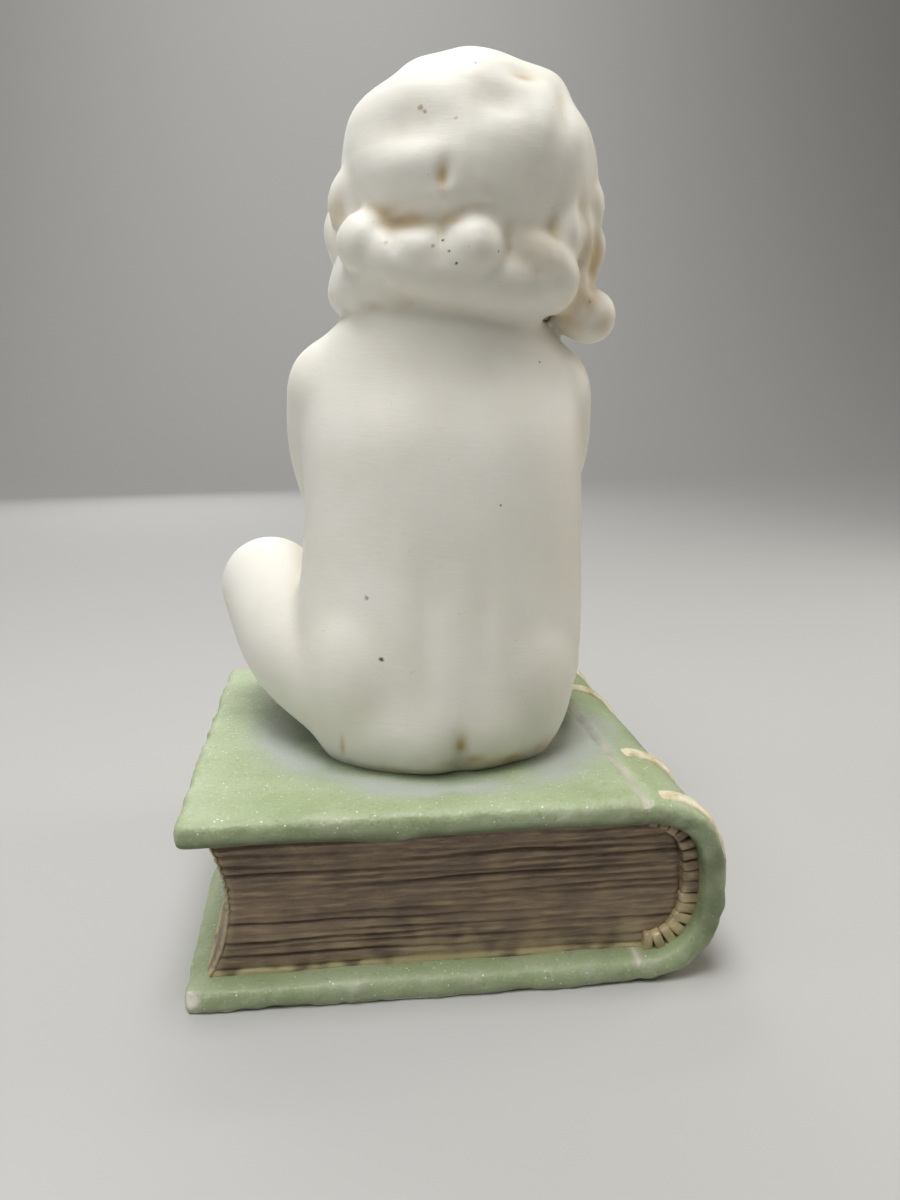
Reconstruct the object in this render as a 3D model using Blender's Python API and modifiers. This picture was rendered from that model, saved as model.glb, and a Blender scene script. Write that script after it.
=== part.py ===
"""A bisque figurine: a curly-haired child seated on a closed book, seen in the photograph from behind.

Two slip-cast porcelain pieces. The child is one casting. The book under it is another, with its
case, page block and raised bands cast together. Metres, +Z up, standing on Z = 0. The child faces
-Y, its left side is at +X, and the book's spine is at -X.
"""

import math

import bmesh
import bpy
import numpy as np
from mathutils import Euler, Matrix, Vector

# Book, outside sizes
BOOK_WIDTH = 0.0760
BOOK_LENGTH = 0.0745
BOOK_THICKNESS = 0.0275

# Book, case
BOARD_THICKNESS = 0.0033
SPINE_DEPTH = 0.0112
SPINE_WALL = 0.0040
SPINE_FULLNESS = 2.35
EDGE_ROUND = 0.0011
HINGE_WIDTH = 0.0018
HINGE_DEPTH = 0.0006
BAND_RISE = 0.0006
BAND_WIDTH = 0.0030
BAND_PLACES = (0.065, 0.25, 0.75, 0.935)

# Book, page block
SQUARES = 0.0037
FORE_SQUARE = 0.0028
FORE_HOLLOW = 0.0030
LEAVES = 11
LEAF_GROOVE = 0.0004

# Shallow dish in the top board, which the child was bedded in
DISH_DEPTH = 0.0010
DISH_RADIUS_X = 0.0325
DISH_RADIUS_Y = 0.0345
DISH_FLOOR = 0.66
SEAT_GAP = 0.0003

# Child
FIGURE_HEIGHT = 0.1035
NOMINAL_HEIGHT = 103.5
SEAT_Y = -0.0029
FIGURE_TRIANGLES = 7200
VOXEL = 0.0009

UNIT = FIGURE_HEIGHT / NOMINAL_HEIGHT
CASE_LEFT = BOOK_WIDTH / 2
CASE_RIGHT = BAND_RISE - BOOK_WIDTH / 2
HINGE_X = CASE_RIGHT + SPINE_DEPTH
MIDDLE_Z = BOOK_THICKNESS / 2

WHITE_BISQUE = ("white bisque", (0.82, 0.79, 0.72), 0.55)
GREEN_PAINT = ("green paint on bisque", (0.20, 0.28, 0.14), 0.45)

# The child's masses, in units of its nominal height, from the seat: x to its left, y to its back, z up.
# Torso sections are (height, centre x, centre y, half width, half depth).
TORSO = (
    (-2.0, 1.4, 11.4, 16.0, 12.6),
    (3.0, 1.2, 11.2, 19.6, 16.2),
    (10.0, 0.4, 10.3, 22.2, 16.6),
    (18.0, 0.0, 9.6, 22.8, 16.6),
    (28.0, -0.4, 9.4, 21.9, 15.6),
    (38.0, -0.6, 9.2, 21.2, 15.2),
    (48.0, -0.7, 8.4, 21.6, 14.6),
    (56.0, -0.8, 7.2, 21.4, 13.0),
    (61.0, -1.0, 6.2, 18.4, 11.4),
    (65.0, -1.4, 5.4, 14.0, 10.2),
    (69.0, -2.2, 4.8, 10.6, 9.6),
    (75.0, -3.2, 4.2, 9.8, 9.4),
)

# Limbs are chains of (x, y, z, radius).
LIMBS = {
    "left_arm": ((15.6, 6.0, 55.6, 8.4), (16.5, 1.5, 46.5, 7.4), (14.6, -4.6, 35.5, 6.3)),
    "left_forearm": ((14.4, -5.0, 35.0, 6.2), (11.2, -13.0, 26.5, 5.2), (6.8, -18.8, 19.5, 4.0)),
    "right_arm": ((-16.9, 6.0, 55.0, 8.6), (-18.2, 1.5, 46.0, 7.7), (-16.8, -4.6, 35.5, 6.5)),
    "right_forearm": ((-16.2, -5.0, 35.0, 6.3), (-12.0, -13.0, 26.0, 5.2), (-6.2, -19.4, 18.8, 4.0)),
    "left_thigh": ((12.4, 9.6, 10.4, 12.2), (20.8, 0.5, 14.4, 11.2), (27.4, -9.5, 21.6, 8.8)),
    "left_shin": ((27.6, -10.5, 20.6, 8.0), (24.2, -17.0, 13.0, 7.2), (16.8, -24.0, 6.0, 4.7)),
    "left_foot": ((17.2, -22.6, 4.0, 4.4), (12.6, -28.0, 3.0, 3.9), (9.8, -30.8, 2.2, 2.6)),
    "right_thigh": ((-11.5, 9.5, 10.2, 11.6), (-16.0, -4.0, 9.6, 10.4), (-19.0, -16.6, 8.4, 8.2)),
    "right_shin": ((-18.6, -18.0, 8.0, 7.4), (-9.0, -23.6, 7.2, 6.5), (2.6, -25.6, 5.6, 4.6)),
    "right_foot": ((4.4, -24.8, 4.2, 4.4), (11.0, -18.6, 3.6, 4.0), (15.2, -14.4, 3.0, 2.8)),
}

# Rounded masses are (x, y, z, radius x, radius y, radius z).
LAP = (1.0, -8.5, 6.5, 15.0, 12.0, 9.5)
BELLY = (0.0, -1.5, 20.0, 16.0, 8.5, 12.0)
SEAT = ((10.2, 13.2, 8.0, 12.2, 13.2, 10.6), (-8.8, 13.2, 8.0, 11.8, 13.2, 10.6))
PALMS = ((3.4, -21.4, 17.4, 5.6, 4.4, 3.4), (-2.8, -22.4, 15.6, 5.4, 4.2, 3.2))

# Head, about its own centre: x to its left, y to its back, z to the crown.
HEAD_CENTRE = (-4.8, 4.2, 84.0)
HEAD_TURN = (math.radians(9), math.radians(-10), math.radians(4))
HAIR_CAP = (
    (0.4, 3.4, 0.0, 18.7, 16.8, 17.3),
    (-1.8, 3.0, 0.8, 17.2, 16.4, 16.4),
    (0.4, -3.0, 6.2, 16.2, 13.4, 11.2),
)
FACE = (
    (0.0, -3.0, 1.0, 13.4, 13.0, 12.8),
    (0.0, -4.4, -5.0, 13.2, 12.8, 13.2),
    (6.6, -9.6, -9.4, 6.0, 5.6, 5.6),
    (-6.6, -9.6, -9.4, 6.0, 5.6, 5.6),
    (0.0, -6.4, -13.0, 9.2, 8.6, 5.4),
    (0.0, -12.2, -15.4, 3.8, 3.4, 2.8),
)
NOSE = ((0.0, -15.6, -3.6, 1.3), (0.0, -16.8, -6.4, 1.5), (0.0, -17.6, -8.3, 1.8))
LIPS = (
    ((-3.0, -14.9, -12.1, 0.7), (0.0, -16.3, -11.8, 1.2), (3.0, -14.9, -12.1, 0.7)),
    ((-2.3, -14.7, -13.4, 0.8), (0.0, -16.0, -13.7, 1.3), (2.3, -14.7, -13.4, 0.8)),
)
EYELIDS = ((5.2, -14.8, -4.0, 2.7, 2.1, 2.0), (-5.2, -14.8, -4.0, 2.7, 2.1, 2.0))

# Locks of hair, each a chain of (x, y, z, radius) from its root to its rounded end.
NAPE_LOCKS = (
    ((14.0, 13.0, 80.5, 4.0), (12.6, 17.0, 78.0, 4.2), (11.4, 17.6, 75.6, 3.9), (9.4, 18.4, 75.2, 3.0)),
    ((7.6, 17.0, 74.6, 3.6), (4.0, 18.4, 73.4, 4.0), (0.2, 18.6, 73.4, 3.7)),
    ((-2.0, 18.4, 76.0, 3.4), (-4.4, 19.6, 73.8, 4.2), (-4.2, 19.2, 71.4, 4.2)),
    ((-8.0, 18.6, 75.4, 3.0), (-10.6, 18.2, 74.0, 3.4), (-10.0, 17.6, 71.0, 3.4)),
    ((-10.4, 17.0, 70.8, 3.2), (-13.4, 16.0, 70.0, 4.4), (-13.2, 14.6, 67.8, 3.8)),
)
SIDE_LOCKS = (
    ((-18.8, 13.6, 82.0, 3.0), (-19.4, 13.4, 78.0, 3.0), (-18.2, 12.6, 74.6, 2.7)),
    ((-21.0, 7.0, 86.4, 3.2), (-23.4, 6.2, 82.0, 3.3), (-23.0, 6.4, 78.6, 2.7)),
    ((-21.8, 3.4, 80.0, 3.5), (-23.8, 3.8, 75.8, 3.6), (-22.4, 4.8, 71.8, 3.2)),
    ((-20.0, 6.4, 74.0, 3.4), (-19.2, 8.6, 70.0, 3.8), (-21.2, 7.6, 66.8, 4.2), (-23.8, 6.6, 65.8, 4.4)),
    ((9.0, 9.0, 84.0, 3.2), (11.6, 9.6, 79.8, 3.8), (11.2, 10.4, 77.0, 3.6)),
    ((11.2, 2.0, 82.0, 3.4), (14.0, 2.6, 77.0, 3.6), (12.4, 4.6, 73.4, 3.2)),
    ((9.6, 7.6, 76.0, 4.0), (11.8, 8.6, 71.8, 3.9), (13.1, 8.2, 68.4, 3.7)),
)
# Locks over the brow and beside the cheeks, in the head's own axes.
FRONT_LOCKS = (
    ((1.0, -10.5, 15.0, 3.2), (-5.0, -14.8, 12.2, 3.7), (-10.8, -13.8, 7.8, 3.5), (-14.2, -10.8, 3.0, 3.3)),
    ((2.6, -10.5, 15.0, 3.2), (7.8, -14.2, 12.2, 3.7), (11.8, -12.2, 7.6, 3.4), (13.6, -9.6, 3.0, 3.2)),
    ((-0.8, -13.6, 13.0, 2.8), (-2.6, -16.4, 9.4, 2.8), (-0.8, -17.0, 7.2, 2.2)),
    ((3.0, -13.6, 13.0, 2.8), (5.0, -16.0, 9.4, 2.7), (7.2, -15.6, 7.4, 2.2)),
    ((-7.0, -13.6, 10.4, 2.8), (-8.8, -14.8, 6.8, 2.6), (-7.4, -15.2, 4.8, 2.0)),
    ((10.4, -11.8, 8.0, 2.8), (12.2, -12.6, 3.6, 2.7), (11.0, -13.2, 1.4, 2.1)),
    ((-14.4, -8.6, 4.0, 3.5), (-16.2, -8.4, -1.6, 3.6), (-14.8, -9.6, -5.4, 3.1)),
    ((-15.4, -5.4, -3.4, 3.6), (-16.2, -6.6, -8.8, 3.6), (-14.0, -8.2, -12.0, 3.1)),
    ((-13.6, -1.6, -10.0, 3.8), (-14.4, -4.2, -14.6, 3.4), (-12.4, -6.2, -16.6, 2.7)),
    ((13.2, -7.6, 3.2, 3.4), (15.0, -7.6, -2.4, 3.4), (14.0, -9.0, -6.0, 3.0)),
    ((15.0, -5.0, -4.4, 3.5), (15.8, -6.2, -9.8, 3.5), (13.4, -8.0, -12.8, 3.0)),
    ((13.8, -1.0, -10.0, 3.8), (14.2, -4.0, -14.8, 3.4), (12.0, -6.2, -17.0, 2.7)),
)

# Hollows and swellings are (x, y, z), (size x, y, z) and (push x, y, z).
BODY_MOVES = (
    ((-0.6, 26.0, 34.0), (3.4, 9.0, 26.0), (0.0, -1.3, 0.0)),
    ((11.0, 24.0, 50.0), (6.5, 8.0, 9.0), (0.0, 0.8, 0.0)),
    ((-12.5, 24.0, 50.0), (6.5, 8.0, 9.0), (0.0, 0.8, 0.0)),
    ((0.0, 27.0, 1.5), (2.2, 6.0, 4.6), (0.0, -1.6, 0.0)),
)
HAIR_MOVES = (
    ((1.0, 24.0, 82.4), (2.4, 6.0, 3.4), (0.0, -1.3, 0.0)),
    ((6.6, 22.6, 80.4), (6.0, 7.0, 3.2), (0.5, 1.5, -0.4)),
    ((4.0, 20.6, 77.2), (8.0, 6.0, 1.6), (0.0, -1.8, 0.0)),
    ((-10.8, 17.0, 96.4), (4.6, 6.0, 2.6), (0.4, -1.0, -1.2)),
    ((-7.0, 14.0, 101.0), (6.0, 8.0, 4.0), (0.0, 0.3, 0.5)),
    ((-18.4, 8.0, 98.4), (4.0, 9.0, 4.0), (-0.9, 0.0, 1.0)),
    ((11.0, 8.0, 93.0), (4.0, 8.0, 5.0), (0.5, 0.0, 0.3)),
    ((9.0, 15.0, 97.0), (5.0, 9.0, 2.4), (-0.6, -0.6, -0.9)),
    ((-15.0, 17.0, 86.0), (1.8, 8.0, 9.0), (0.5, -0.9, 0.0)),
    ((-9.0, 21.0, 84.0), (2.0, 8.0, 8.0), (0.2, -0.8, 0.0)),
)
EYE_SOCKETS = (
    ((5.2, -17.0, -1.6), (3.6, 4.0, 1.4), (0.0, 1.0, 0.0)),
    ((-5.2, -17.0, -1.6), (3.6, 4.0, 1.4), (0.0, 1.0, 0.0)),
)


def clear_scene():
    """Empties the scene, so that only this figurine is in it."""
    for old in list(bpy.data.objects):
        bpy.data.objects.remove(old)


def collection_named(name):
    made = bpy.data.collections.new(name)
    bpy.context.scene.collection.children.link(made)
    return made


def material(finish):
    """A plain Principled material of that name, colour and roughness."""
    name, colour, roughness = finish
    made = bpy.data.materials.new(name)
    made.use_nodes = True
    shader = made.node_tree.nodes["Principled BSDF"]
    shader.inputs["Base Color"].default_value = (*colour, 1.0)
    shader.inputs["Roughness"].default_value = roughness
    shader.inputs["Metallic"].default_value = 0.0
    return made


def object_from(name, mesh, collection):
    made = bpy.data.objects.new(name, mesh)
    collection.objects.link(made)
    return made


def helper(obj):
    """Marks a cutter, which shapes a piece and isn't part of it."""
    obj.hide_render = True
    obj.display_type = "WIRE"
    return obj


def evaluated_mesh(obj):
    """The mesh that an object's modifiers or curve settings make."""
    graph = bpy.context.evaluated_depsgraph_get()
    graph.update()
    return bpy.data.meshes.new_from_object(obj.evaluated_get(graph), depsgraph=graph)


def smoothstep(share):
    share = np.clip(share, 0.0, 1.0)
    return share * share * (3.0 - 2.0 * share)


def dish_depth(x, y):
    """How far the top board is hollowed at a place, a flat floor with a soft rim."""
    reach = np.hypot(x / DISH_RADIUS_X, y / DISH_RADIUS_Y)
    return DISH_DEPTH * (1.0 - smoothstep((reach - DISH_FLOOR) / (1.0 - DISH_FLOOR)))


# Book


def spine_curve(centre_x, depth, half_height, steps=14):
    """Points of a full, rounded spine, from its top joint round the outside to its bottom joint."""
    points = []
    for step in range(steps + 1):
        angle = math.pi / 2 - math.pi * step / steps
        across = abs(math.cos(angle)) ** (2 / SPINE_FULLNESS)
        up = math.copysign(abs(math.sin(angle)) ** (2 / SPINE_FULLNESS), math.sin(angle))
        points.append((centre_x - depth * across, MIDDLE_Z + half_height * up))
    return points


def extruded(name, outline, start_y, end_y, collection):
    """A closed outline in X and Z, extruded along Y, as a mesh object."""
    curve = bpy.data.curves.new(name, "CURVE")
    curve.dimensions = "2D"
    curve.fill_mode = "BOTH"
    curve.extrude = (end_y - start_y) / 2
    spline = curve.splines.new("POLY")
    spline.points.add(len(outline) - 1)
    for point, (x, z) in zip(spline.points, outline):
        point.co = (x, z, 0.0, 1.0)
    spline.use_cyclic_u = True
    drawn = bpy.data.objects.new(name + "_outline", curve)
    bpy.context.scene.collection.objects.link(drawn)
    mesh = evaluated_mesh(drawn)
    bpy.data.objects.remove(drawn)
    bm = bmesh.new()
    bm.from_mesh(mesh)
    bmesh.ops.remove_doubles(bm, verts=bm.verts, dist=1e-6)
    upright = Matrix.Translation((0.0, (start_y + end_y) / 2, 0.0)) @ Matrix.Rotation(math.pi / 2, 4, "X")
    bmesh.ops.transform(bm, matrix=upright, verts=bm.verts)
    bmesh.ops.recalc_face_normals(bm, faces=bm.faces)
    bm.to_mesh(mesh)
    bm.free()
    return object_from(name, mesh, collection)


def rounded(obj, width, segments=2):
    """Rounds an object's sharp edges."""
    bevel = obj.modifiers.new("rounded edges", "BEVEL")
    bevel.width = width
    bevel.segments = segments
    bevel.limit_method = "ANGLE"
    bevel.angle_limit = math.radians(40)
    return obj


def case(collection):
    """The two boards and the spine, bent round from one sheet."""
    spine_half = MIDDLE_Z - BAND_RISE
    outer = spine_curve(HINGE_X, SPINE_DEPTH, spine_half)
    inner = spine_curve(HINGE_X, SPINE_DEPTH - SPINE_WALL, MIDDLE_Z - BOARD_THICKNESS)
    outline = [(CASE_LEFT, BOOK_THICKNESS), (HINGE_X, BOOK_THICKNESS)]
    outline += outer[1:-1]
    outline += [(HINGE_X, 0.0), (CASE_LEFT, 0.0), (CASE_LEFT, BOARD_THICKNESS)]
    outline += inner[::-1]
    outline += [(CASE_LEFT, BOOK_THICKNESS - BOARD_THICKNESS)]
    made = extruded("book_base", outline, -BOOK_LENGTH / 2, BOOK_LENGTH / 2, collection)
    return rounded(made, EDGE_ROUND)


def raised_bands(collection):
    """The cords' ridges across the spine."""
    made = []
    middle_half = MIDDLE_Z - BOARD_THICKNESS / 2
    outer = spine_curve(HINGE_X, SPINE_DEPTH + BAND_RISE, MIDDLE_Z)[1:-1]
    inner = spine_curve(HINGE_X, SPINE_DEPTH - SPINE_WALL / 2, middle_half)[1:-1]
    for index, place in enumerate(BAND_PLACES):
        middle = (0.5 - place) * BOOK_LENGTH
        outline = outer + inner[::-1]
        band = extruded(
            f"band_{index + 1}", outline, middle - BAND_WIDTH / 2, middle + BAND_WIDTH / 2, collection
        )
        made.append(helper(rounded(band, BAND_RISE * 0.7, 1)))
    return made


def fore_edge_x(level):
    """Where the hollow fore-edge of the page block lies, at a height given as a share."""
    bow = 4.0 * level * (1.0 - level)
    return CASE_LEFT - FORE_SQUARE - FORE_HOLLOW * bow


def page_block(collection):
    """The leaves, as a stack of thin slabs with a groove between each and the next."""
    bottom = BOARD_THICKNESS / 2
    top = BOOK_THICKNESS - BOARD_THICKNESS / 2
    leaf = (BOOK_THICKNESS - 2 * BOARD_THICKNESS) / LEAVES
    levels = [(bottom, 0.0)]
    for index in range(1, LEAVES):
        height = BOARD_THICKNESS + index * leaf
        levels += [(height - leaf * 0.2, 0.0), (height, LEAF_GROOVE), (height + leaf * 0.2, 0.0)]
    levels += [(top, 0.0)]
    half_length = BOOK_LENGTH / 2 - SQUARES
    back = HINGE_X - SPINE_DEPTH + SPINE_WALL / 2

    def corners(height, inset):
        level = (height - BOARD_THICKNESS) / (BOOK_THICKNESS - 2 * BOARD_THICKNESS)
        front = fore_edge_x(min(max(level, 0.0), 1.0)) - inset
        half = half_length - inset
        rise = min(abs(height - MIDDLE_Z) / (MIDDLE_Z - BOARD_THICKNESS / 2), 1.0)
        spine = HINGE_X - (HINGE_X - back) * (1.0 - rise**SPINE_FULLNESS) ** (1 / SPINE_FULLNESS)
        return ((front, -half), (front, half), (spine, half), (spine, -half))

    bm = bmesh.new()
    ring = bmesh.ops.create_circle(bm, cap_ends=False, segments=4, radius=1.0)["verts"]
    first = list({edge for vert in ring for edge in vert.link_edges})
    edges = first
    for place, (height, inset) in enumerate(levels):
        if place:
            made = bmesh.ops.extrude_edge_only(bm, edges=edges)["geom"]
            ring = sorted((item for item in made if isinstance(item, bmesh.types.BMVert)), key=lambda v: v.index)
            edges = [item for item in made if isinstance(item, bmesh.types.BMEdge)]
        ring = sorted(ring, key=lambda vert: math.atan2(vert.co.y, vert.co.x))
        wanted = sorted(corners(height, inset), key=lambda spot: math.atan2(spot[1], spot[0]))
        for vert, (x, y) in zip(ring, wanted):
            vert.co = (x, y, height)
    bmesh.ops.holes_fill(bm, edges=first + edges, sides=0)
    bmesh.ops.recalc_face_normals(bm, faces=bm.faces)
    mesh = bpy.data.meshes.new("page_block")
    bm.to_mesh(mesh)
    bm.free()
    return helper(object_from("page_block", mesh, collection))


def hinge_cutters(collection):
    """Rods that press the hinge groove into each board beside the spine."""
    made = []
    for side, height in (("top", BOOK_THICKNESS), ("bottom", 0.0)):
        bm = bmesh.new()
        bmesh.ops.create_cone(
            bm, cap_ends=True, segments=12, radius1=1.0, radius2=1.0, depth=BOOK_LENGTH * 1.1
        )
        flat = Matrix.Diagonal((HINGE_WIDTH / 2, 1.0, HINGE_DEPTH, 1.0))
        lying = Matrix.Rotation(math.pi / 2, 4, "X")
        place = Matrix.Translation((HINGE_X + HINGE_WIDTH * 0.7, 0.0, height))
        bmesh.ops.transform(bm, matrix=place @ flat @ lying, verts=bm.verts)
        mesh = bpy.data.meshes.new(f"hinge_{side}")
        bm.to_mesh(mesh)
        bm.free()
        made.append(helper(object_from(f"hinge_{side}", mesh, collection)))
    return made


def dish_cutter(collection, rings=9, steps=48):
    """A turned dome, as wide as the dish, that hollows the top board."""
    above = 2 * DISH_DEPTH
    skim = 0.02 * DISH_DEPTH
    profile = [(0.0, above), (1.0, above)]
    for step in range(rings + 1):
        share = 1.0 - (1.0 - DISH_FLOOR) * step / rings
        depth = float(dish_depth(share * DISH_RADIUS_X, 0.0))
        profile.append((share, skim - depth))
    profile.append((0.0, skim - DISH_DEPTH))
    bm = bmesh.new()
    verts = [bm.verts.new((radius, 0.0, height)) for radius, height in profile]
    for first, second in zip(verts, verts[1:]):
        bm.edges.new((first, second))
    mesh = bpy.data.meshes.new("dish")
    bm.to_mesh(mesh)
    bm.free()
    made = helper(object_from("dish", mesh, collection))
    screw = made.modifiers.new("turned", "SCREW")
    screw.steps = screw.render_steps = steps
    screw.use_merge_vertices = True
    screw.merge_threshold = 1e-6
    made.scale = (DISH_RADIUS_X, DISH_RADIUS_Y, 1.0)
    made.location = (0.0, 0.0, BOOK_THICKNESS)
    return made


def boolean(obj, other, operation):
    modifier = obj.modifiers.new(f"{operation.lower()} {other.name}", "BOOLEAN")
    modifier.operation = operation
    modifier.object = other


def book(parts, cutters):
    """The closed book: case, page block and bands in one casting, hinged and dished."""
    made = case(parts)
    boolean(made, page_block(cutters), "UNION")
    for cutter in hinge_cutters(cutters):
        boolean(made, cutter, "DIFFERENCE")
    for band in raised_bands(cutters):
        boolean(made, band, "UNION")
    boolean(made, dish_cutter(cutters), "DIFFERENCE")
    made.data.materials.append(material(GREEN_PAINT))
    return made


# Child


def spline_through(stations, steps):
    """Stations with a smooth Catmull-Rom run of further ones between them."""
    knots = np.array(stations, float)
    knots = np.vstack([2 * knots[0] - knots[1], knots, 2 * knots[-1] - knots[-2]])
    run = []
    for index in range(1, len(knots) - 2):
        before, start, end, after = knots[index - 1 : index + 3]
        for step in range(steps):
            t = step / steps
            run.append(
                0.5
                * (
                    2 * start
                    + (end - before) * t
                    + (2 * before - 5 * start + 4 * end - after) * t**2
                    + (3 * start - before - 3 * end + after) * t**3
                )
            )
    run.append(knots[-2])
    return np.array(run)


def add_ball(bm, mass, place=Matrix.Identity(4)):
    """An ellipsoid: its centre and its three radii."""
    verts = bmesh.ops.create_uvsphere(bm, u_segments=24, v_segments=14, radius=1.0)["verts"]
    sized = Matrix.Translation(Vector(mass[:3])) @ Matrix.Diagonal((*mass[3:], 1.0))
    bmesh.ops.transform(bm, matrix=place @ sized, verts=verts)


def add_tube(bm, frames, sides):
    """A closed skin through rings, each given by the matrix that places a unit circle."""
    verts = bmesh.ops.create_circle(bm, cap_ends=False, segments=sides, radius=1.0)["verts"]
    edges = list({edge for vert in verts for edge in vert.link_edges})
    first = edges
    bmesh.ops.transform(bm, matrix=frames[0], verts=verts)
    for before, after in zip(frames, frames[1:]):
        grown = bmesh.ops.extrude_edge_only(bm, edges=edges)["geom"]
        verts = [item for item in grown if isinstance(item, bmesh.types.BMVert)]
        edges = [item for item in grown if isinstance(item, bmesh.types.BMEdge)]
        bmesh.ops.transform(bm, matrix=after @ before.inverted(), verts=verts)
    bmesh.ops.holes_fill(bm, edges=first + edges, sides=0)


def add_limb(bm, stations, place=Matrix.Identity(4), steps=6, sides=20):
    """A smooth tapering limb or lock of hair with round ends."""
    run = spline_through(stations, steps)
    points, radii = run[:, :3], run[:, 3]
    ways = np.gradient(points, axis=0)
    ways /= np.linalg.norm(ways, axis=1, keepdims=True)
    rings = []
    for angle in (-80, -50, -22):
        lean = math.radians(angle)
        rings.append((points[0] + ways[0] * radii[0] * math.sin(lean), ways[0], radii[0] * math.cos(lean)))
    rings += list(zip(points, ways, radii))
    for angle in (22, 50, 80):
        lean = math.radians(angle)
        rings.append((points[-1] + ways[-1] * radii[-1] * math.sin(lean), ways[-1], radii[-1] * math.cos(lean)))
    frames = []
    turn = Vector((0, 0, 1)).rotation_difference(Vector(rings[0][1]))
    way_before = Vector(rings[0][1])
    for point, way, radius in rings:
        way = Vector(way)
        turn = way_before.rotation_difference(way) @ turn
        way_before = way
        ring = Matrix.Translation(Vector(point)) @ turn.to_matrix().to_4x4() @ Matrix.Diagonal((radius, radius, radius, 1))
        frames.append(place @ ring)
    add_tube(bm, frames, sides)


def add_torso(bm):
    run = spline_through(TORSO, 4)
    frames = []
    for height, x, y, half_width, half_depth in run:
        frames.append(Matrix.Translation((x, y, height)) @ Matrix.Diagonal((half_width, half_depth, 1.0, 1.0)))
    add_tube(bm, frames, 40)


def head_place():
    """The matrix that tips the head towards its right shoulder and bows it a little."""
    return Matrix.Translation(HEAD_CENTRE) @ Euler(HEAD_TURN, "YXZ").to_matrix().to_4x4()


def fused(bm, voxel, passes):
    """Overlapping masses run together into one smooth skin, as when modelled in clay."""
    bmesh.ops.recalc_face_normals(bm, faces=bm.faces)
    mesh = bpy.data.meshes.new("masses")
    bm.to_mesh(mesh)
    bm.free()
    clay = bpy.data.objects.new("masses", mesh)
    bpy.context.scene.collection.objects.link(clay)
    remesh = clay.modifiers.new("fused", "REMESH")
    remesh.mode = "VOXEL"
    remesh.voxel_size = voxel
    smooth = clay.modifiers.new("smoothed", "SMOOTH")
    smooth.factor = 0.5
    smooth.iterations = passes
    made = evaluated_mesh(clay)
    bpy.data.objects.remove(clay)
    return made


def moved(mesh, moves, place=Matrix.Identity(4)):
    """Pushes the skin at each place by a soft, bell-shaped amount, as a thumb would."""
    points = np.empty(len(mesh.vertices) * 3)
    mesh.vertices.foreach_get("co", points)
    points = points.reshape(-1, 3)
    to_place = np.array(place.inverted())
    local = points @ to_place[:3, :3].T + to_place[:3, 3]
    turn = np.array(place)[:3, :3]
    for centre, size, push in moves:
        near = np.exp(-(((local - centre) / size) ** 2).sum(axis=1))
        points += near[:, None] * (turn @ np.array(push))
    mesh.vertices.foreach_set("co", points.ravel())
    mesh.update()


def body_clay():
    """Trunk and limbs, smoothed hard so that they flow into each other."""
    bm = bmesh.new()
    add_torso(bm)
    for stations in LIMBS.values():
        add_limb(bm, stations)
    for mass in (LAP, BELLY, *SEAT, *PALMS):
        add_ball(bm, mass)
    made = fused(bm, VOXEL / UNIT, 14)
    moved(made, BODY_MOVES)
    return made


def head_clay():
    """Hair cap, face and locks, smoothed lightly so that the locks stay crisp."""
    place = head_place()
    bm = bmesh.new()
    for mass in HAIR_CAP + FACE + EYELIDS:
        add_ball(bm, mass, place)
    for stations in (NOSE, *LIPS, *FRONT_LOCKS):
        add_limb(bm, stations, place, 4, 14)
    for stations in NAPE_LOCKS + SIDE_LOCKS:
        add_limb(bm, stations, steps=4, sides=14)
    made = fused(bm, VOXEL / UNIT, 3)
    moved(made, HAIR_MOVES)
    moved(made, EYE_SOCKETS, place)
    return made


def bedded(mesh):
    """Scales the child to size, stands it on the book and flattens what would sink into it."""
    points = np.empty(len(mesh.vertices) * 3)
    mesh.vertices.foreach_get("co", points)
    points = points.reshape(-1, 3) * UNIT
    points[:, 1] += SEAT_Y
    points[:, 2] += BOOK_THICKNESS
    floor = BOOK_THICKNESS - dish_depth(points[:, 0], points[:, 1]) + SEAT_GAP
    points[:, 2] = np.maximum(points[:, 2], floor)
    mesh.vertices.foreach_set("co", points.ravel())
    mesh.update()


def child(parts):
    """The seated child, one casting."""
    bm = bmesh.new()
    bm.from_mesh(body_clay())
    bm.from_mesh(head_clay())
    mesh = fused(bm, VOXEL / UNIT, 2)
    bedded(mesh)
    made = object_from("child_figure", mesh, parts)
    triangles = 2 * len(mesh.polygons)
    thinned = made.modifiers.new("thinned", "DECIMATE")
    thinned.ratio = FIGURE_TRIANGLES / triangles
    mesh.shade_smooth()
    mesh.materials.append(material(WHITE_BISQUE))
    return made


def main():
    clear_scene()
    parts = collection_named("bisque child on a book")
    cutters = collection_named("cutters")
    made = book(parts, cutters)
    made.data.shade_smooth()
    made.data.set_sharp_from_angle(angle=math.radians(40))
    child(parts)


main()
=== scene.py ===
"""A bisque figurine: a curly-haired child seated on a closed green book, seen from behind."""

import math
from functools import partial

import bmesh
import bpy
import numpy as np
from mathutils import Euler, Matrix, Vector


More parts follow.
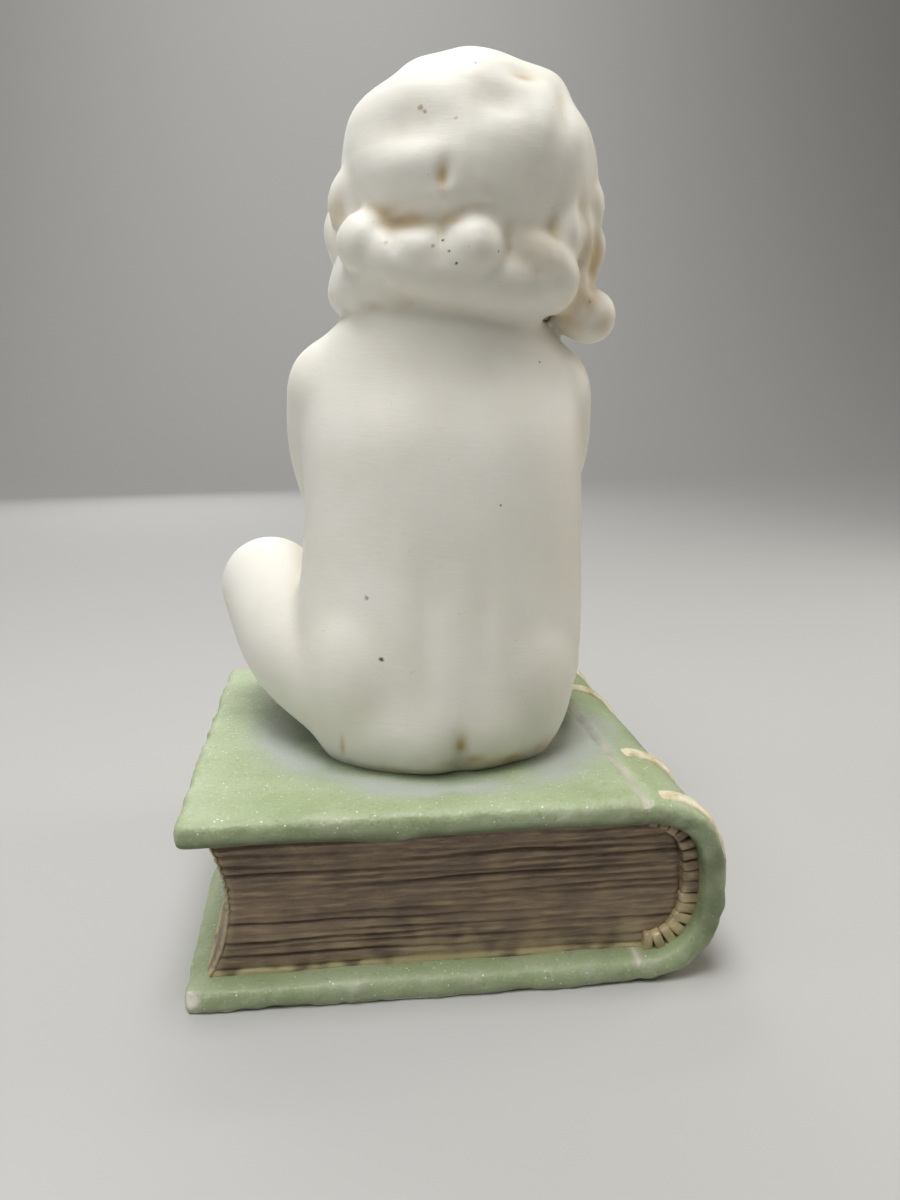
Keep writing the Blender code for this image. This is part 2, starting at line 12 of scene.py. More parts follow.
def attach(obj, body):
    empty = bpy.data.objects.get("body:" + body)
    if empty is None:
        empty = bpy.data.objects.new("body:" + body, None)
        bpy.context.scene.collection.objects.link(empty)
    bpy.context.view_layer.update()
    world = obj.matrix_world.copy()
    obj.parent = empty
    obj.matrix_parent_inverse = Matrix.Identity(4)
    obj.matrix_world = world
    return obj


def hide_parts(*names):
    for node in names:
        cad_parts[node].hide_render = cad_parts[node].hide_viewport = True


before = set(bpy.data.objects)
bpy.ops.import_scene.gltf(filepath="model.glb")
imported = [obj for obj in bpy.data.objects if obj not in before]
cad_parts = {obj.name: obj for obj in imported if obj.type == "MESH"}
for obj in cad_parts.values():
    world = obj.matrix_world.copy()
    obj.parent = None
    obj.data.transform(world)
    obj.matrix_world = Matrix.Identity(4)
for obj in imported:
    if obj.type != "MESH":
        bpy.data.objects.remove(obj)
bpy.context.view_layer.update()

MM = 0.001

# Book, in millimetres: the solid's sizes, but the spine's wall and the bands follow the photograph
BOOK_WIDTH = 76.0
BOOK_LENGTH = 74.5
BOOK_THICKNESS = 27.5
BOARD = 3.3
SPINE_DEPTH = 11.2
SPINE_WALL = 3.4
SPINE_FULLNESS = 2.35
BAND_RISE = 0.6
BAND_WIDTH = 3.4
BAND_PLACES = (0.045, 0.268, 0.732, 0.955)
SQUARES = 3.7
FORE_SQUARE = 2.8
FORE_HOLLOW = 3.0
DISH_DEPTH = 1.0
DISH_RADIUS_X = 32.5
DISH_RADIUS_Y = 34.5
DISH_FLOOR = 0.66
SEAT_Y = -2.9
SEAT_SINK = 0.15  # how far the seat lies in the dish's skin

# Finer forms of the book, only in the skin
LIP = 2.6  # how far in from their edges the boards are rough and worn
RIM_WEAR = 0.45
UNDERSIDE_DROP = 0.5
SAG_DROP = 0.6
GROOVE_OFFSET = 1.1  # from the spine's joint to the pressed groove beside it
GROOVE_DEPTH = 0.55
CHIP_PLACE, CHIP_SIZE, CHIP_PUSH = (37.6, 37.0, 2.0), (2.2, 1.8, 1.6), (0.55, 0.7, -0.1)
CORE_INSET = 1.0  # how far the core behind the leaves keeps clear of their skin
LEAF_OVERLAP = 0.5  # how far the leaves run into the boards
LEAF_CUT = 0.55
LEAF_CORNER = 1.2
WEDGE_PITCH = 1.65
WEDGE_TALL = 2.6
WEDGE_DEEP = 3.4
WEDGE_BEVEL = 0.17

CASE_LEFT = BOOK_WIDTH / 2
CASE_RIGHT = BAND_RISE - BOOK_WIDTH / 2
HINGE_X = CASE_RIGHT + SPINE_DEPTH
MIDDLE_Z = BOOK_THICKNESS / 2
HALF_LENGTH = BOOK_LENGTH / 2

CLAY_VOXEL = 0.57
BOOK_VOXEL = 0.56


def linear(hex_colour):
    """An sRGB hex colour as linear red, green, blue and alpha."""
    shares = [int(hex_colour[i : i + 2], 16) / 255 for i in (0, 2, 4)]
    return (*(s / 12.92 if s <= 0.04045 else ((s + 0.055) / 1.055) ** 2.4 for s in shares), 1.0)


def smoothstep(share):
    """A soft step from 0 to 1."""
    share = np.clip(share, 0.0, 1.0)
    return share * share * (3.0 - 2.0 * share)


def bell(values, width):
    """A soft bump: 1 where the values are 0, dying away over a width."""
    return np.exp(-((values / width) ** 2))


def near(points, place, size):
    """How near points are to a place: 1 there, dying away over its size each way."""
    return np.exp(-(((points - place) / size) ** 2).sum(axis=1))


def points_of(mesh):
    points = np.empty(len(mesh.vertices) * 3)
    mesh.vertices.foreach_get("co", points)
    return points.reshape(-1, 3)


def normals_of(mesh):
    normals = np.empty(len(mesh.vertices) * 3)
    mesh.vertices.foreach_get("normal", normals)
    return normals.reshape(-1, 3)


def set_points(mesh, points):
    mesh.vertices.foreach_set("co", points.ravel())
    mesh.update()


def set_attribute(mesh, name, values):
    """A number for each vertex, which a material can read."""
    layer = mesh.attributes.new(name, "FLOAT", "POINT")
    layer.data.foreach_set("value", np.ascontiguousarray(values, dtype=np.float32))


def waves(points, size, seed):
    """Smooth seeded unevenness, mostly between -1 and 1, with features of about that size in mm."""
    lattice = np.random.default_rng(seed).uniform(-1.0, 1.0, (32, 32, 32))
    points = points @ np.array(Euler((0.7, 0.5, 0.9)).to_matrix())
    total = np.zeros(len(points))
    for octave in range(2):
        spots = points * (2**octave / size) + 40.5 * (octave + 1)
        cells = np.floor(spots).astype(int)
        shares = smoothstep(spots - cells)
        for corner in range(8):
            step = np.array(((corner >> 2) & 1, (corner >> 1) & 1, corner & 1))
            i, j, k = ((cells + step) % 32).T
            total += 0.5**octave * lattice[i, j, k] * np.prod(np.where(step, shares, 1 - shares), axis=1)
    return 1.5 * total


def new_object(name, data):
    """An object in the scene, at the origin."""
    made = bpy.data.objects.new(name, data)
    bpy.context.scene.collection.objects.link(made)
    return made


def evaluated_mesh(obj):
    """The object's shape with its modifiers, as a mesh of its own."""
    graph = bpy.context.evaluated_depsgraph_get()
    graph.update()
    return bpy.data.meshes.new_from_object(obj.evaluated_get(graph), depsgraph=graph)


def mesh_from(bm):
    """The finished mesh, with its faces pointing outwards."""
    bmesh.ops.recalc_face_normals(bm, faces=bm.faces)
    mesh = bpy.data.meshes.new("skin")
    bm.to_mesh(mesh)
    bm.free()
    return mesh


def fused(bm, voxel, passes):
    """Overlapping masses run together into one smooth skin, as when modelled in clay."""
    clay = new_object("masses", mesh_from(bm))
    remesh = clay.modifiers.new("fused", "REMESH")
    remesh.mode = "VOXEL"
    remesh.voxel_size = voxel
    smooth = clay.modifiers.new("smoothed", "SMOOTH")
    smooth.factor = 0.5
    smooth.iterations = passes
    made = evaluated_mesh(clay)
    bpy.data.objects.remove(clay)
    return made


def piece(name, mesh, material, node):
    """A finished piece: scaled from millimetres, shaded smooth, and riding in its solid's place."""
    set_points(mesh, points_of(mesh) * MM)
    mesh.shade_smooth()
    mesh.materials.clear()
    mesh.materials.append(material)
    made = new_object(name, mesh)
    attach(made, "root")
    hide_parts(node)


def mirrored(place):
    """A place or a mass on the other side of the head."""
    return (-place[0], *place[1:])


# Child: masses in millimetres from the seat, x to its left, y to its back, z up.

TORSO = (
    (-2.0, 1.4, 11.4, 16.0, 12.6),
    (3.0, 1.2, 11.2, 19.6, 16.2),
    (10.0, 0.4, 10.3, 22.2, 16.6),
    (18.0, 0.0, 9.6, 22.8, 16.6),
    (28.0, -0.6, 9.4, 22.1, 15.6),
    (38.0, -0.9, 9.2, 21.6, 15.2),
    (48.0, -0.7, 8.4, 21.6, 14.6),
    (56.0, -0.8, 7.2, 20.9, 13.2),
    (61.0, -0.8, 6.4, 19.0, 13.0),
    (65.0, -1.0, 6.2, 15.6, 12.4),
    (69.0, -2.2, 5.8, 11.8, 11.6),
    (75.0, -3.2, 4.8, 10.2, 10.0),
)
LIMBS = {
    "left_arm": ((14.8, 6.0, 54.8, 8.2), (16.0, 1.5, 46.5, 7.3), (14.6, -4.6, 35.5, 6.3)),
    "left_forearm": ((14.4, -5.0, 35.0, 6.2), (11.2, -13.0, 26.5, 5.2), (6.8, -18.8, 19.5, 3.8)),
    "right_arm": ((-16.2, 6.0, 54.4, 8.4), (-17.8, 1.5, 46.0, 7.7), (-17.4, -4.4, 36.0, 6.8)),
    "right_forearm": ((-16.2, -5.0, 35.0, 6.3), (-12.0, -13.0, 26.0, 5.2), (-6.2, -19.4, 18.8, 3.8)),
    "left_thigh": ((12.4, 9.6, 10.4, 12.2), (20.8, 0.5, 14.4, 11.2), (27.4, -9.5, 21.6, 8.8)),
    "left_shin": ((27.6, -10.5, 20.6, 8.0), (24.2, -17.0, 13.0, 7.2), (16.8, -24.0, 6.0, 4.5)),
    "left_foot": ((17.2, -22.6, 4.0, 4.3), (12.6, -27.6, 3.0, 3.7), (10.6, -29.8, 2.2, 2.8)),
    "right_thigh": ((-11.2, 9.0, 10.2, 11.0), (-16.0, -4.0, 9.6, 10.4), (-19.0, -16.6, 8.4, 8.2)),
    "right_shin": ((-18.6, -18.0, 8.0, 7.4), (-9.0, -23.6, 7.2, 6.5), (2.6, -25.6, 5.6, 4.4)),
    "right_foot": ((4.4, -24.8, 4.2, 4.4), (10.4, -19.0, 3.6, 3.8), (13.6, -16.0, 3.0, 3.0)),
}
ROUND_MASSES = (
    (1.0, -8.5, 6.5, 15.0, 12.0, 9.5),
    (0.0, -1.5, 20.0, 16.0, 8.5, 12.0),
    (9.8, 11.9, 12.0, 12.7, 13.5, 18.0),
    (-8.8, 11.9, 12.0, 12.5, 13.5, 18.0),
)
PALMS = ((3.4, -21.2, 17.6, 4.8, 3.4, 3.2), (-2.8, -22.0, 15.8, 4.8, 3.4, 3.2))
FINGERS = (
    ((2.6, -23.0, 20.0, 1.4), (-0.8, -25.2, 19.2, 1.4), (-3.8, -25.4, 17.4, 1.2)),
    ((2.2, -23.8, 18.2, 1.5), (-1.2, -26.0, 17.2, 1.4), (-4.2, -25.8, 15.4, 1.2)),
    ((1.8, -23.8, 16.3, 1.5), (-1.2, -25.8, 15.2, 1.4), (-4.0, -25.2, 13.4, 1.2)),
    ((1.6, -23.4, 14.6, 1.3), (-0.8, -25.0, 13.4, 1.2), (-3.0, -24.8, 12.0, 1.1)),
    ((5.0, -20.6, 20.2, 1.5), (3.4, -22.4, 21.4, 1.4), (1.2, -24.2, 21.4, 1.2)),
    ((-4.8, -21.6, 18.4, 1.5), (-3.4, -23.6, 19.2, 1.3), (-1.8, -24.8, 20.2, 1.1)),
)
TOES = (
    (8.4, -29.6, 2.5, 2.1, 2.1, 1.9),
    (8.6, -31.6, 2.0, 1.5, 1.6, 1.4),
    (10.0, -32.4, 1.9, 1.4, 1.5, 1.3),
    (11.4, -32.6, 1.8, 1.3, 1.4, 1.2),
    (12.7, -32.2, 1.7, 1.2, 1.3, 1.1),
    (14.6, -13.4, 3.2, 1.9, 1.9, 1.7),
    (16.0, -15.0, 2.8, 1.4, 1.4, 1.3),
    (16.2, -16.6, 2.5, 1.3, 1.3, 1.2),
)

NAPE_ROOT = 65.6  # the height at which the neck runs into the back
HEAD_CENTRE = (-4.8, 4.2, 84.0)
HEAD_TURN = (math.radians(9), math.radians(-10), math.radians(4))
HAIR_CAP = (
    (0.4, 3.4, 0.0, 18.7, 16.8, 17.3),
    (-1.8, 3.0, 0.8, 17.2, 16.4, 16.4),
    (0.4, -3.0, 6.2, 16.2, 13.4, 11.2),
)
FACE = (
    (0.0, -3.0, 1.0, 13.4, 13.0, 12.8),
    (0.0, -4.4, -5.0, 13.2, 12.8, 13.2),
    (0.0, -6.4, -13.0, 9.0, 8.6, 5.4),
    (0.0, -11.8, -15.6, 3.6, 3.2, 2.7),
)
CHEEK = (6.4, -9.8, -9.4, 5.8, 5.6, 5.4)
NOSTRIL = (1.7, -16.5, -8.7, 1.2, 1.3, 1.1)
EYELID = (5.2, -13.2, -3.8, 3.1, 3.0, 2.6)
PAIRS = tuple(side for mass in (CHEEK, NOSTRIL, EYELID) for side in (mass, mirrored(mass)))
NOSE = ((0.0, -15.4, -3.2, 1.3), (0.0, -16.8, -6.2, 1.3), (0.0, -17.6, -8.2, 1.7))
LIPS = (
    (
        (-3.2, -14.6, -12.2, 0.6),
        (-1.0, -15.8, -11.6, 1.1),
        (1.0, -15.8, -11.6, 1.1),
        (3.2, -14.6, -12.2, 0.6),
    ),
    ((-2.6, -14.5, -13.0, 0.6), (0.0, -15.5, -13.6, 1.3), (2.6, -14.5, -13.0, 0.6)),
)

NAPE_LOCKS = (
    (
        (10.4, 14.6, 74.0, 3.6),
        (7.0, 17.4, 72.6, 4.2),
        (2.0, 18.4, 71.4, 4.5),
        (-3.6, 18.2, 70.6, 4.7),
        (-8.8, 16.8, 70.0, 5.0),
        (-12.8, 14.2, 69.6, 4.8),
    ),
    ((-11.4, 19.0, 75.2, 2.2), (-13.8, 18.4, 73.0, 3.2), (-16.0, 16.2, 70.4, 3.8), (-15.8, 14.0, 68.4, 3.5)),
    ((-19.6, 13.6, 80.0, 2.0), (-20.2, 13.0, 76.6, 2.4), (-20.4, 12.0, 73.2, 2.0)),
    ((-17.4, 14.6, 72.6, 1.2), (-18.8, 13.4, 70.6, 1.4), (-19.4, 11.8, 69.0, 1.8)),
)
NAPE_BALLS = (
    (11.0, 15.6, 74.6, 4.1, 4.2, 4.3),
    (2.8, 20.2, 73.0, 5.2, 2.8, 3.1),
    (-3.6, 21.0, 73.6, 4.2, 4.2, 4.3),
    (-9.6, 18.8, 74.6, 3.6, 3.0, 3.4),
    (-14.4, 17.0, 75.4, 2.8, 2.7, 3.6),
    (6.2, 14.6, 70.6, 6.2, 4.6, 4.6),
    (-17.4, 16.0, 76.5, 2.8, 3.5, 4.7),
    (-14.6, 16.6, 70.8, 4.1, 4.2, 4.1),
    (10.4, 11.4, 70.0, 4.3, 4.6, 4.6),
    (-3.4, 14.4, 69.6, 10.8, 6.8, 4.2),
)
SIDE_LOCKS = (
    ((-20.0, 12.0, 85.0, 2.4), (-21.6, 11.2, 81.6, 2.9), (-21.8, 10.8, 78.8, 2.5)),
    ((-20.6, 6.0, 86.4, 3.0), (-22.4, 5.6, 82.0, 3.1), (-22.2, 5.8, 78.4, 2.6)),
    ((-21.4, 9.4, 79.0, 2.4), (-22.9, 8.6, 75.6, 2.8), (-21.8, 9.2, 71.4, 2.2)),
    ((-21.4, 4.0, 79.0, 3.0), (-22.8, 4.0, 75.4, 3.1), (-21.4, 5.4, 71.4, 2.8)),
    ((-19.4, 11.6, 71.0, 2.6), (-19.6, 10.6, 68.6, 3.4), (-21.0, 8.8, 66.8, 4.0), (-23.6, 7.4, 65.8, 4.3)),
    ((-19.8, 0.6, 77.0, 3.0), (-20.8, 1.4, 72.0, 3.1), (-21.6, 4.2, 67.6, 3.2), (-22.4, 6.4, 65.6, 3.2)),
    ((10.6, 10.6, 85.0, 2.8), (12.8, 10.0, 81.6, 3.2), (12.9, 10.4, 78.4, 2.8)),
    ((11.4, 4.2, 82.6, 3.0), (13.5, 3.8, 78.2, 3.3), (12.4, 5.0, 74.0, 3.0)),
    ((9.6, 8.4, 76.0, 3.4), (11.6, 9.0, 71.8, 3.8), (12.8, 8.4, 68.6, 3.7)),
    ((11.0, 2.0, 76.0, 3.0), (12.0, 3.0, 71.6, 3.2), (11.6, 4.6, 68.8, 2.8)),
)
FRONT_LOCKS = (
    ((1.0, -10.5, 15.0, 3.2), (-5.0, -14.8, 12.2, 3.7), (-10.8, -13.8, 7.8, 3.5), (-14.2, -10.8, 3.0, 3.3)),
    ((2.6, -10.5, 15.0, 3.2), (7.8, -14.2, 12.2, 3.7), (11.8, -12.2, 7.6, 3.4), (13.6, -9.6, 3.0, 3.2)),
    ((-0.8, -13.6, 13.0, 2.8), (-2.6, -16.4, 9.4, 2.8), (-0.8, -17.0, 7.2, 2.2)),
    ((3.0, -13.6, 13.0, 2.8), (5.0, -16.0, 9.4, 2.7), (7.2, -15.6, 7.4, 2.2)),
    ((-7.0, -13.6, 10.4, 2.8), (-8.8, -14.8, 6.8, 2.6), (-7.4, -15.2, 4.8, 2.0)),
    ((10.4, -11.8, 8.0, 2.8), (12.2, -12.6, 3.6, 2.7), (11.0, -13.2, 1.4, 2.1)),
    ((-14.4, -8.6, 4.0, 3.5), (-16.2, -8.4, -1.6, 3.6), (-14.8, -9.6, -5.4, 3.1)),
    ((-15.4, -5.4, -3.4, 3.6), (-16.2, -6.6, -8.8, 3.6), (-14.0, -8.2, -12.0, 3.1)),
    ((-13.6, -1.6, -10.0, 3.8), (-14.4, -4.2, -14.6, 3.4), (-12.4, -6.2, -16.6, 2.7)),
    ((13.2, -7.6, 3.2, 3.4), (15.0, -7.6, -2.4, 3.4), (14.0, -9.0, -6.0, 3.0)),
    ((15.0, -5.0, -4.4, 3.5), (15.8, -6.2, -9.8, 3.5), (13.4, -8.0, -12.8, 3.0)),
    ((13.8, -1.0, -10.0, 3.8), (14.2, -4.0, -14.8, 3.4), (12.0, -6.2, -17.0, 2.7)),
)

# Hollows and swellings: where, how wide each way, and how far the skin is pushed.
BODY_MOVES = (
    ((-0.6, 26.0, 36.0), (4.4, 9.0, 20.0), (0.0, -0.5, 0.0)),
    ((3.8, 27.0, 20.0), (2.1, 9.0, 10.0), (0.0, -0.55, 0.0)),
    ((-4.6, 27.0, 20.0), (2.1, 9.0, 10.0), (0.0, -0.55, 0.0)),
    ((11.0, 24.0, 50.0), (6.5, 8.0, 9.0), (0.0, 0.8, 0.0)),
    ((-12.5, 24.0, 50.0), (6.5, 8.0, 9.0), (0.0, 0.8, 0.0)),
    ((-1.2, 27.0, 1.5), (2.6, 6.0, 4.4), (0.0, -1.0, 0.0)),
    ((-1.3, 27.0, 1.8), (0.9, 6.0, 2.6), (0.0, -1.2, 0.0)),
    ((9.4, 27.0, 1.4), (0.8, 6.0, 2.0), (0.0, -0.4, 0.0)),
    ((0.0, -10.6, 21.0), (1.2, 3.0, 1.2), (0.0, 1.0, 0.0)),
)
HAIR_MOVES = (
    ((0.8, 24.0, 81.8), (0.8, 6.0, 1.3), (0.0, -0.65, 0.0)),
    ((0.3, 24.0, 83.2), (0.7, 6.0, 1.2), (0.0, -0.45, 0.0)),
    ((-6.6, 8.0, 103.0), (9.0, 9.0, 4.0), (0.0, 0.0, 0.5)),
    ((0.6, 23.4, 80.0), (1.7, 5.0, 1.3), (0.0, 0.6, 0.0)),
    ((6.3, 21.3, 83.9), (6.5, 6.0, 3.0), (0.2, 0.9, 0.0)),
    ((6.3, 20.8, 88.6), (8.0, 6.0, 2.8), (-0.1, -0.8, -0.3)),
    ((4.6, 19.0, 93.2), (6.0, 6.0, 2.6), (0.1, 0.4, 0.5)),
    ((-12.6, 22.0, 80.8), (4.6, 7.0, 5.0), (0.5, -1.0, 0.0)),
    ((-6.8, 22.5, 91.9), (3.4, 6.0, 2.4), (0.0, -0.75, -0.4)),
    ((-3.6, 20.0, 96.2), (5.4, 6.0, 2.6), (0.0, 0.3, 0.4)),
    ((-13.4, 20.5, 90.6), (1.9, 6.0, 5.0), (-0.3, 0.7, 0.1)),
    ((-16.6, 18.0, 92.6), (1.1, 6.0, 3.6), (0.3, -0.55, -0.1)),
    ((-18.6, 16.0, 88.6), (2.4, 6.0, 3.6), (-0.5, 0.6, 0.1)),
    ((-10.8, 19.0, 96.4), (3.2, 6.0, 1.4), (0.2, -0.4, -0.5)),
    ((-17.4, 9.0, 99.2), (3.6, 9.0, 3.4), (-0.9, 0.0, 1.1)),
    ((-20.6, 9.0, 94.6), (2.0, 9.0, 2.0), (0.5, 0.0, -0.3)),
    ((8.4, 8.0, 98.6), (3.4, 9.0, 2.2), (-0.4, -0.2, -0.6)),
    ((12.4, 8.0, 93.0), (3.6, 8.0, 3.6), (0.5, 0.0, 0.3)),
    ((0.2, 8.0, 102.6), (2.6, 9.0, 3.0), (0.0, 0.0, -0.7)),
    ((3.4, 22.6, 77.2), (6.6, 4.0, 1.4), (0.0, -0.8, 0.1)),
    ((6.6, 21.2, 76.8), (1.7, 4.0, 1.2), (0.0, -0.9, 0.0)),
    ((-4.0, 22.4, 78.6), (3.6, 4.0, 1.2), (0.0, -0.7, 0.0)),
    ((14.2, 13.2, 78.8), (0.9, 4.0, 2.6), (-0.2, -1.2, 0.0)),
    ((7.3, 21.0, 74.8), (0.8, 4.0, 2.2), (0.0, -0.8, 0.0)),
    ((1.0, 23.6, 74.6), (0.7, 4.0, 1.6), (0.0, -0.7, 0.0)),
    ((-8.4, 22.4, 74.0), (0.9, 4.0, 2.4), (0.1, -0.5, 0.0)),
    ((-10.4, 22.0, 74.4), (0.7, 4.0, 1.0), (0.1, -0.4, 0.0)),
    ((-15.2, 18.0, 76.4), (0.9, 4.0, 3.4), (0.2, -0.7, 0.0)),
    ((-19.3, 15.4, 78.4), (0.7, 4.0, 3.2), (0.2, -0.7, 0.0)),
)
FACE_MOVES = (
    ((0.0, -17.0, -10.6), (0.8, 2.0, 1.0), (0.0, 0.35, 0.0)),
    ((0.0, -15.4, -14.9), (2.4, 2.0, 0.7), (0.0, 0.5, 0.0)),
)
PAIRED_FACE_MOVES = (
    ((5.4, -17.0, -1.4), (3.6, 4.0, 1.7), (0.0, 1.2, 0.0)),
    ((2.4, -16.6, -3.6), (1.2, 3.0, 1.6), (0.0, 0.8, 0.0)),
    ((3.6, -15.0, -12.5), (0.9, 2.0, 0.9), (0.0, 0.6, 0.0)),
    ((0.9, -17.6, -10.0), (0.5, 1.4, 0.5), (0.0, 0.4, 0.5)),
)
# Fine lines drawn in the wet clay of the face: their paths, half widths and depths.
MOUTH_HALF = ((3.4, -14.6, -12.3), (1.2, -16.2, -12.5))
MOUTH_LINE = ((*map(mirrored, MOUTH_HALF), (0.0, -16.4, -12.7), *MOUTH_HALF[::-1]), 0.3, 0.5)
LID_LINES = (
    (((7.9, -13.6, -4.0), (5.2, -16.2, -5.3), (2.6, -15.2, -4.4)), 0.34, 0.42),
    (((8.0, -13.4, -2.6), (5.3, -15.6, -1.6), (2.6, -15.2, -2.8)), 0.36, 0.3),
)


def spline_through(stations, steps):
    """Stations with a smooth Catmull-Rom run of further ones between them."""
    knots = np.array(stations, float)
    knots = np.vstack([2 * knots[0] - knots[1], knots, 2 * knots[-1] - knots[-2]])
    run = []
    for index in range(1, len(knots) - 2):
        before, start, end, after = knots[index - 1 : index + 3]
        for step in range(steps):
            t = step / steps
            run.append(
                0.5
                * (
                    2 * start
                    + (end - before) * t
                    + (2 * before - 5 * start + 4 * end - after) * t**2
                    + (3 * start - before - 3 * end + after) * t**3
                )
            )
    run.append(knots[-2])
    return np.array(run)


def add_ball(bm, mass, place=Matrix.Identity(4)):
    """An ellipsoid: its centre and its three radii."""
    verts = bmesh.ops.create_uvsphere(bm, u_segments=32, v_segments=20, radius=1.0)["verts"]
    sized = Matrix.Translation(Vector(mass[:3])) @ Matrix.Diagonal((*mass[3:], 1.0))
    bmesh.ops.transform(bm, matrix=place @ sized, verts=verts)


def add_tube(bm, frames, sides):
    """A closed skin through rings, each given by the matrix that places a unit circle."""
    verts = bmesh.ops.create_circle(bm, cap_ends=False, segments=sides, radius=1.0)["verts"]
    edges = list({edge for vert in verts for edge in vert.link_edges})
    first = edges
    bmesh.ops.transform(bm, matrix=frames[0], verts=verts)
    for before, after in zip(frames, frames[1:]):
        grown = bmesh.ops.extrude_edge_only(bm, edges=edges)["geom"]
        verts = [item for item in grown if isinstance(item, bmesh.types.BMVert)]
        edges = [item for item in grown if isinstance(item, bmesh.types.BMEdge)]
        bmesh.ops.transform(bm, matrix=after @ before.inverted(), verts=verts)
    bmesh.ops.holes_fill(bm, edges=first + edges, sides=0)


def add_limb(bm, stations, place=Matrix.Identity(4), steps=6, sides=24):
    """A smooth tapering limb or lock of hair with round ends."""
    run = spline_through(stations, steps)
    points, radii = run[:, :3], run[:, 3]
    ways = np.gradient(points, axis=0)
    ways /= np.linalg.norm(ways, axis=1, keepdims=True)
    rings = list(zip(points, ways, radii))
    for end, leans in ((0, (-80, -50, -22)), (-1, (22, 50, 80))):
        dome = []
        for lean in map(math.radians, leans):
            spot = points[end] + ways[end] * radii[end] * math.sin(lean)
            dome.append((spot, ways[end], radii[end] * math.cos(lean)))
        rings = dome + rings if end == 0 else rings + dome
    frames = []
    way_before = Vector(rings[0][1])
    turn = Vector((0, 0, 1)).rotation_difference(way_before)
    for point, way, radius in rings:
        way = Vector(way)
        turn = way_before.rotation_difference(way) @ turn
        way_before = way
        sized = Matrix.Diagonal((radius, radius, radius, 1))
        frames.append(place @ Matrix.Translation(Vector(point)) @ turn.to_matrix().to_4x4() @ sized)
    add_tube(bm, frames, sides)


def add_torso(bm):
    """The trunk, from the seat up into the neck."""
    frames = []
    for height, x, y, half_width, half_depth in spline_through(TORSO, 5):
        sized = Matrix.Diagonal((half_width, half_depth, 1.0, 1.0))
        frames.append(Matrix.Translation((x, y, height)) @ sized)
    add_tube(bm, frames, 56)


def head_place():
    """The matrix that tips the head towards its right shoulder and bows it a little."""
    return Matrix.Translation(HEAD_CENTRE) @ Euler(HEAD_TURN, "YXZ").to_matrix().to_4x4()


def in_place(points, place):
    """Points in the axes of a place, such as the head."""
    inverse = np.array(place.inverted())
    return points @ inverse[:3, :3].T + inverse[:3, 3]


def moved(mesh, moves, place=Matrix.Identity(4)):
    """Pushes the skin at each place by a soft, bell-shaped amount, as a thumb would."""
    points = points_of(mesh)
    local = in_place(points, place)
    turn = np.array(place)[:3, :3]
    for centre, size, push in moves:
        points += near(local, centre, size)[:, None] * (turn @ np.array(push))
    set_points(mesh, points)


def path_distance(points, path):
    """How far each point is from a line through the path's points."""
    run = spline_through(path, 6)
    nearest = np.full(len(points), np.inf)
    for start, end in zip(run, run[1:]):
        along = end - start
        share = np.clip((points - start) @ along / (along @ along), 0.0, 1.0)
        nearest = np.minimum(nearest, np.linalg.norm(points - start - share[:, None] * along, axis=1))
    return nearest


def engraved(mesh, lines, place=Matrix.Identity(4)):
    """Draws fine grooves into the skin along paths."""
    points = points_of(mesh)
    normals = normals_of(mesh)
    local = in_place(points, place)
    for path, half_width, depth in lines:
        points -= normals * (depth * bell(path_distance(local, path), half_width))[:, None]
    set_points(mesh, points)


def refined(mesh, wanted):
    """Divides the skin's faces where wanted, so that finer forms can be cut there."""
    bm = bmesh.new()
    bm.from_mesh(mesh)
    bm.verts.ensure_lookup_table()
    chosen = [edge for edge in bm.edges if wanted[edge.verts[0].index] and wanted[edge.verts[1].index]]
    bmesh.ops.subdivide_edges(bm, edges=chosen, cuts=1, smooth=0.0, use_grid_fill=True)
    bm.to_mesh(mesh)
    bm.free()


def neighbour_mean(mesh, values, passes):
    """Averages values over each vertex's neighbours, again and again."""
    edges = np.empty(len(mesh.edges) * 2, dtype=np.int64)
    mesh.edges.foreach_get("vertices", edges)
    start, end = edges.reshape(-1, 2).T
    count = np.bincount(start, minlength=len(values)) + np.bincount(end, minlength=len(values))
    values = np.array(values, float)
    columns = values.reshape(len(values), -1)
    for _ in range(passes):
        total = np.empty_like(columns)
        for column in range(columns.shape[1]):
            total[:, column] = np.bincount(start, columns[end, column], len(columns))
            total[:, column] += np.bincount(end, columns[start, column], len(columns))
        columns = 0.5 * columns + 0.5 * total / count[:, None]
    return columns.reshape(values.shape)


def hollowness(mesh, reach):
    """How far, in millimetres, the skin lies under its own average over a reach: its creases."""
    points = points_of(mesh)
    passes = max(2, int(2 * (reach / CLAY_VOXEL) ** 2))
    return ((neighbour_mean(mesh, points, passes) - points) * normals_of(mesh)).sum(axis=1)


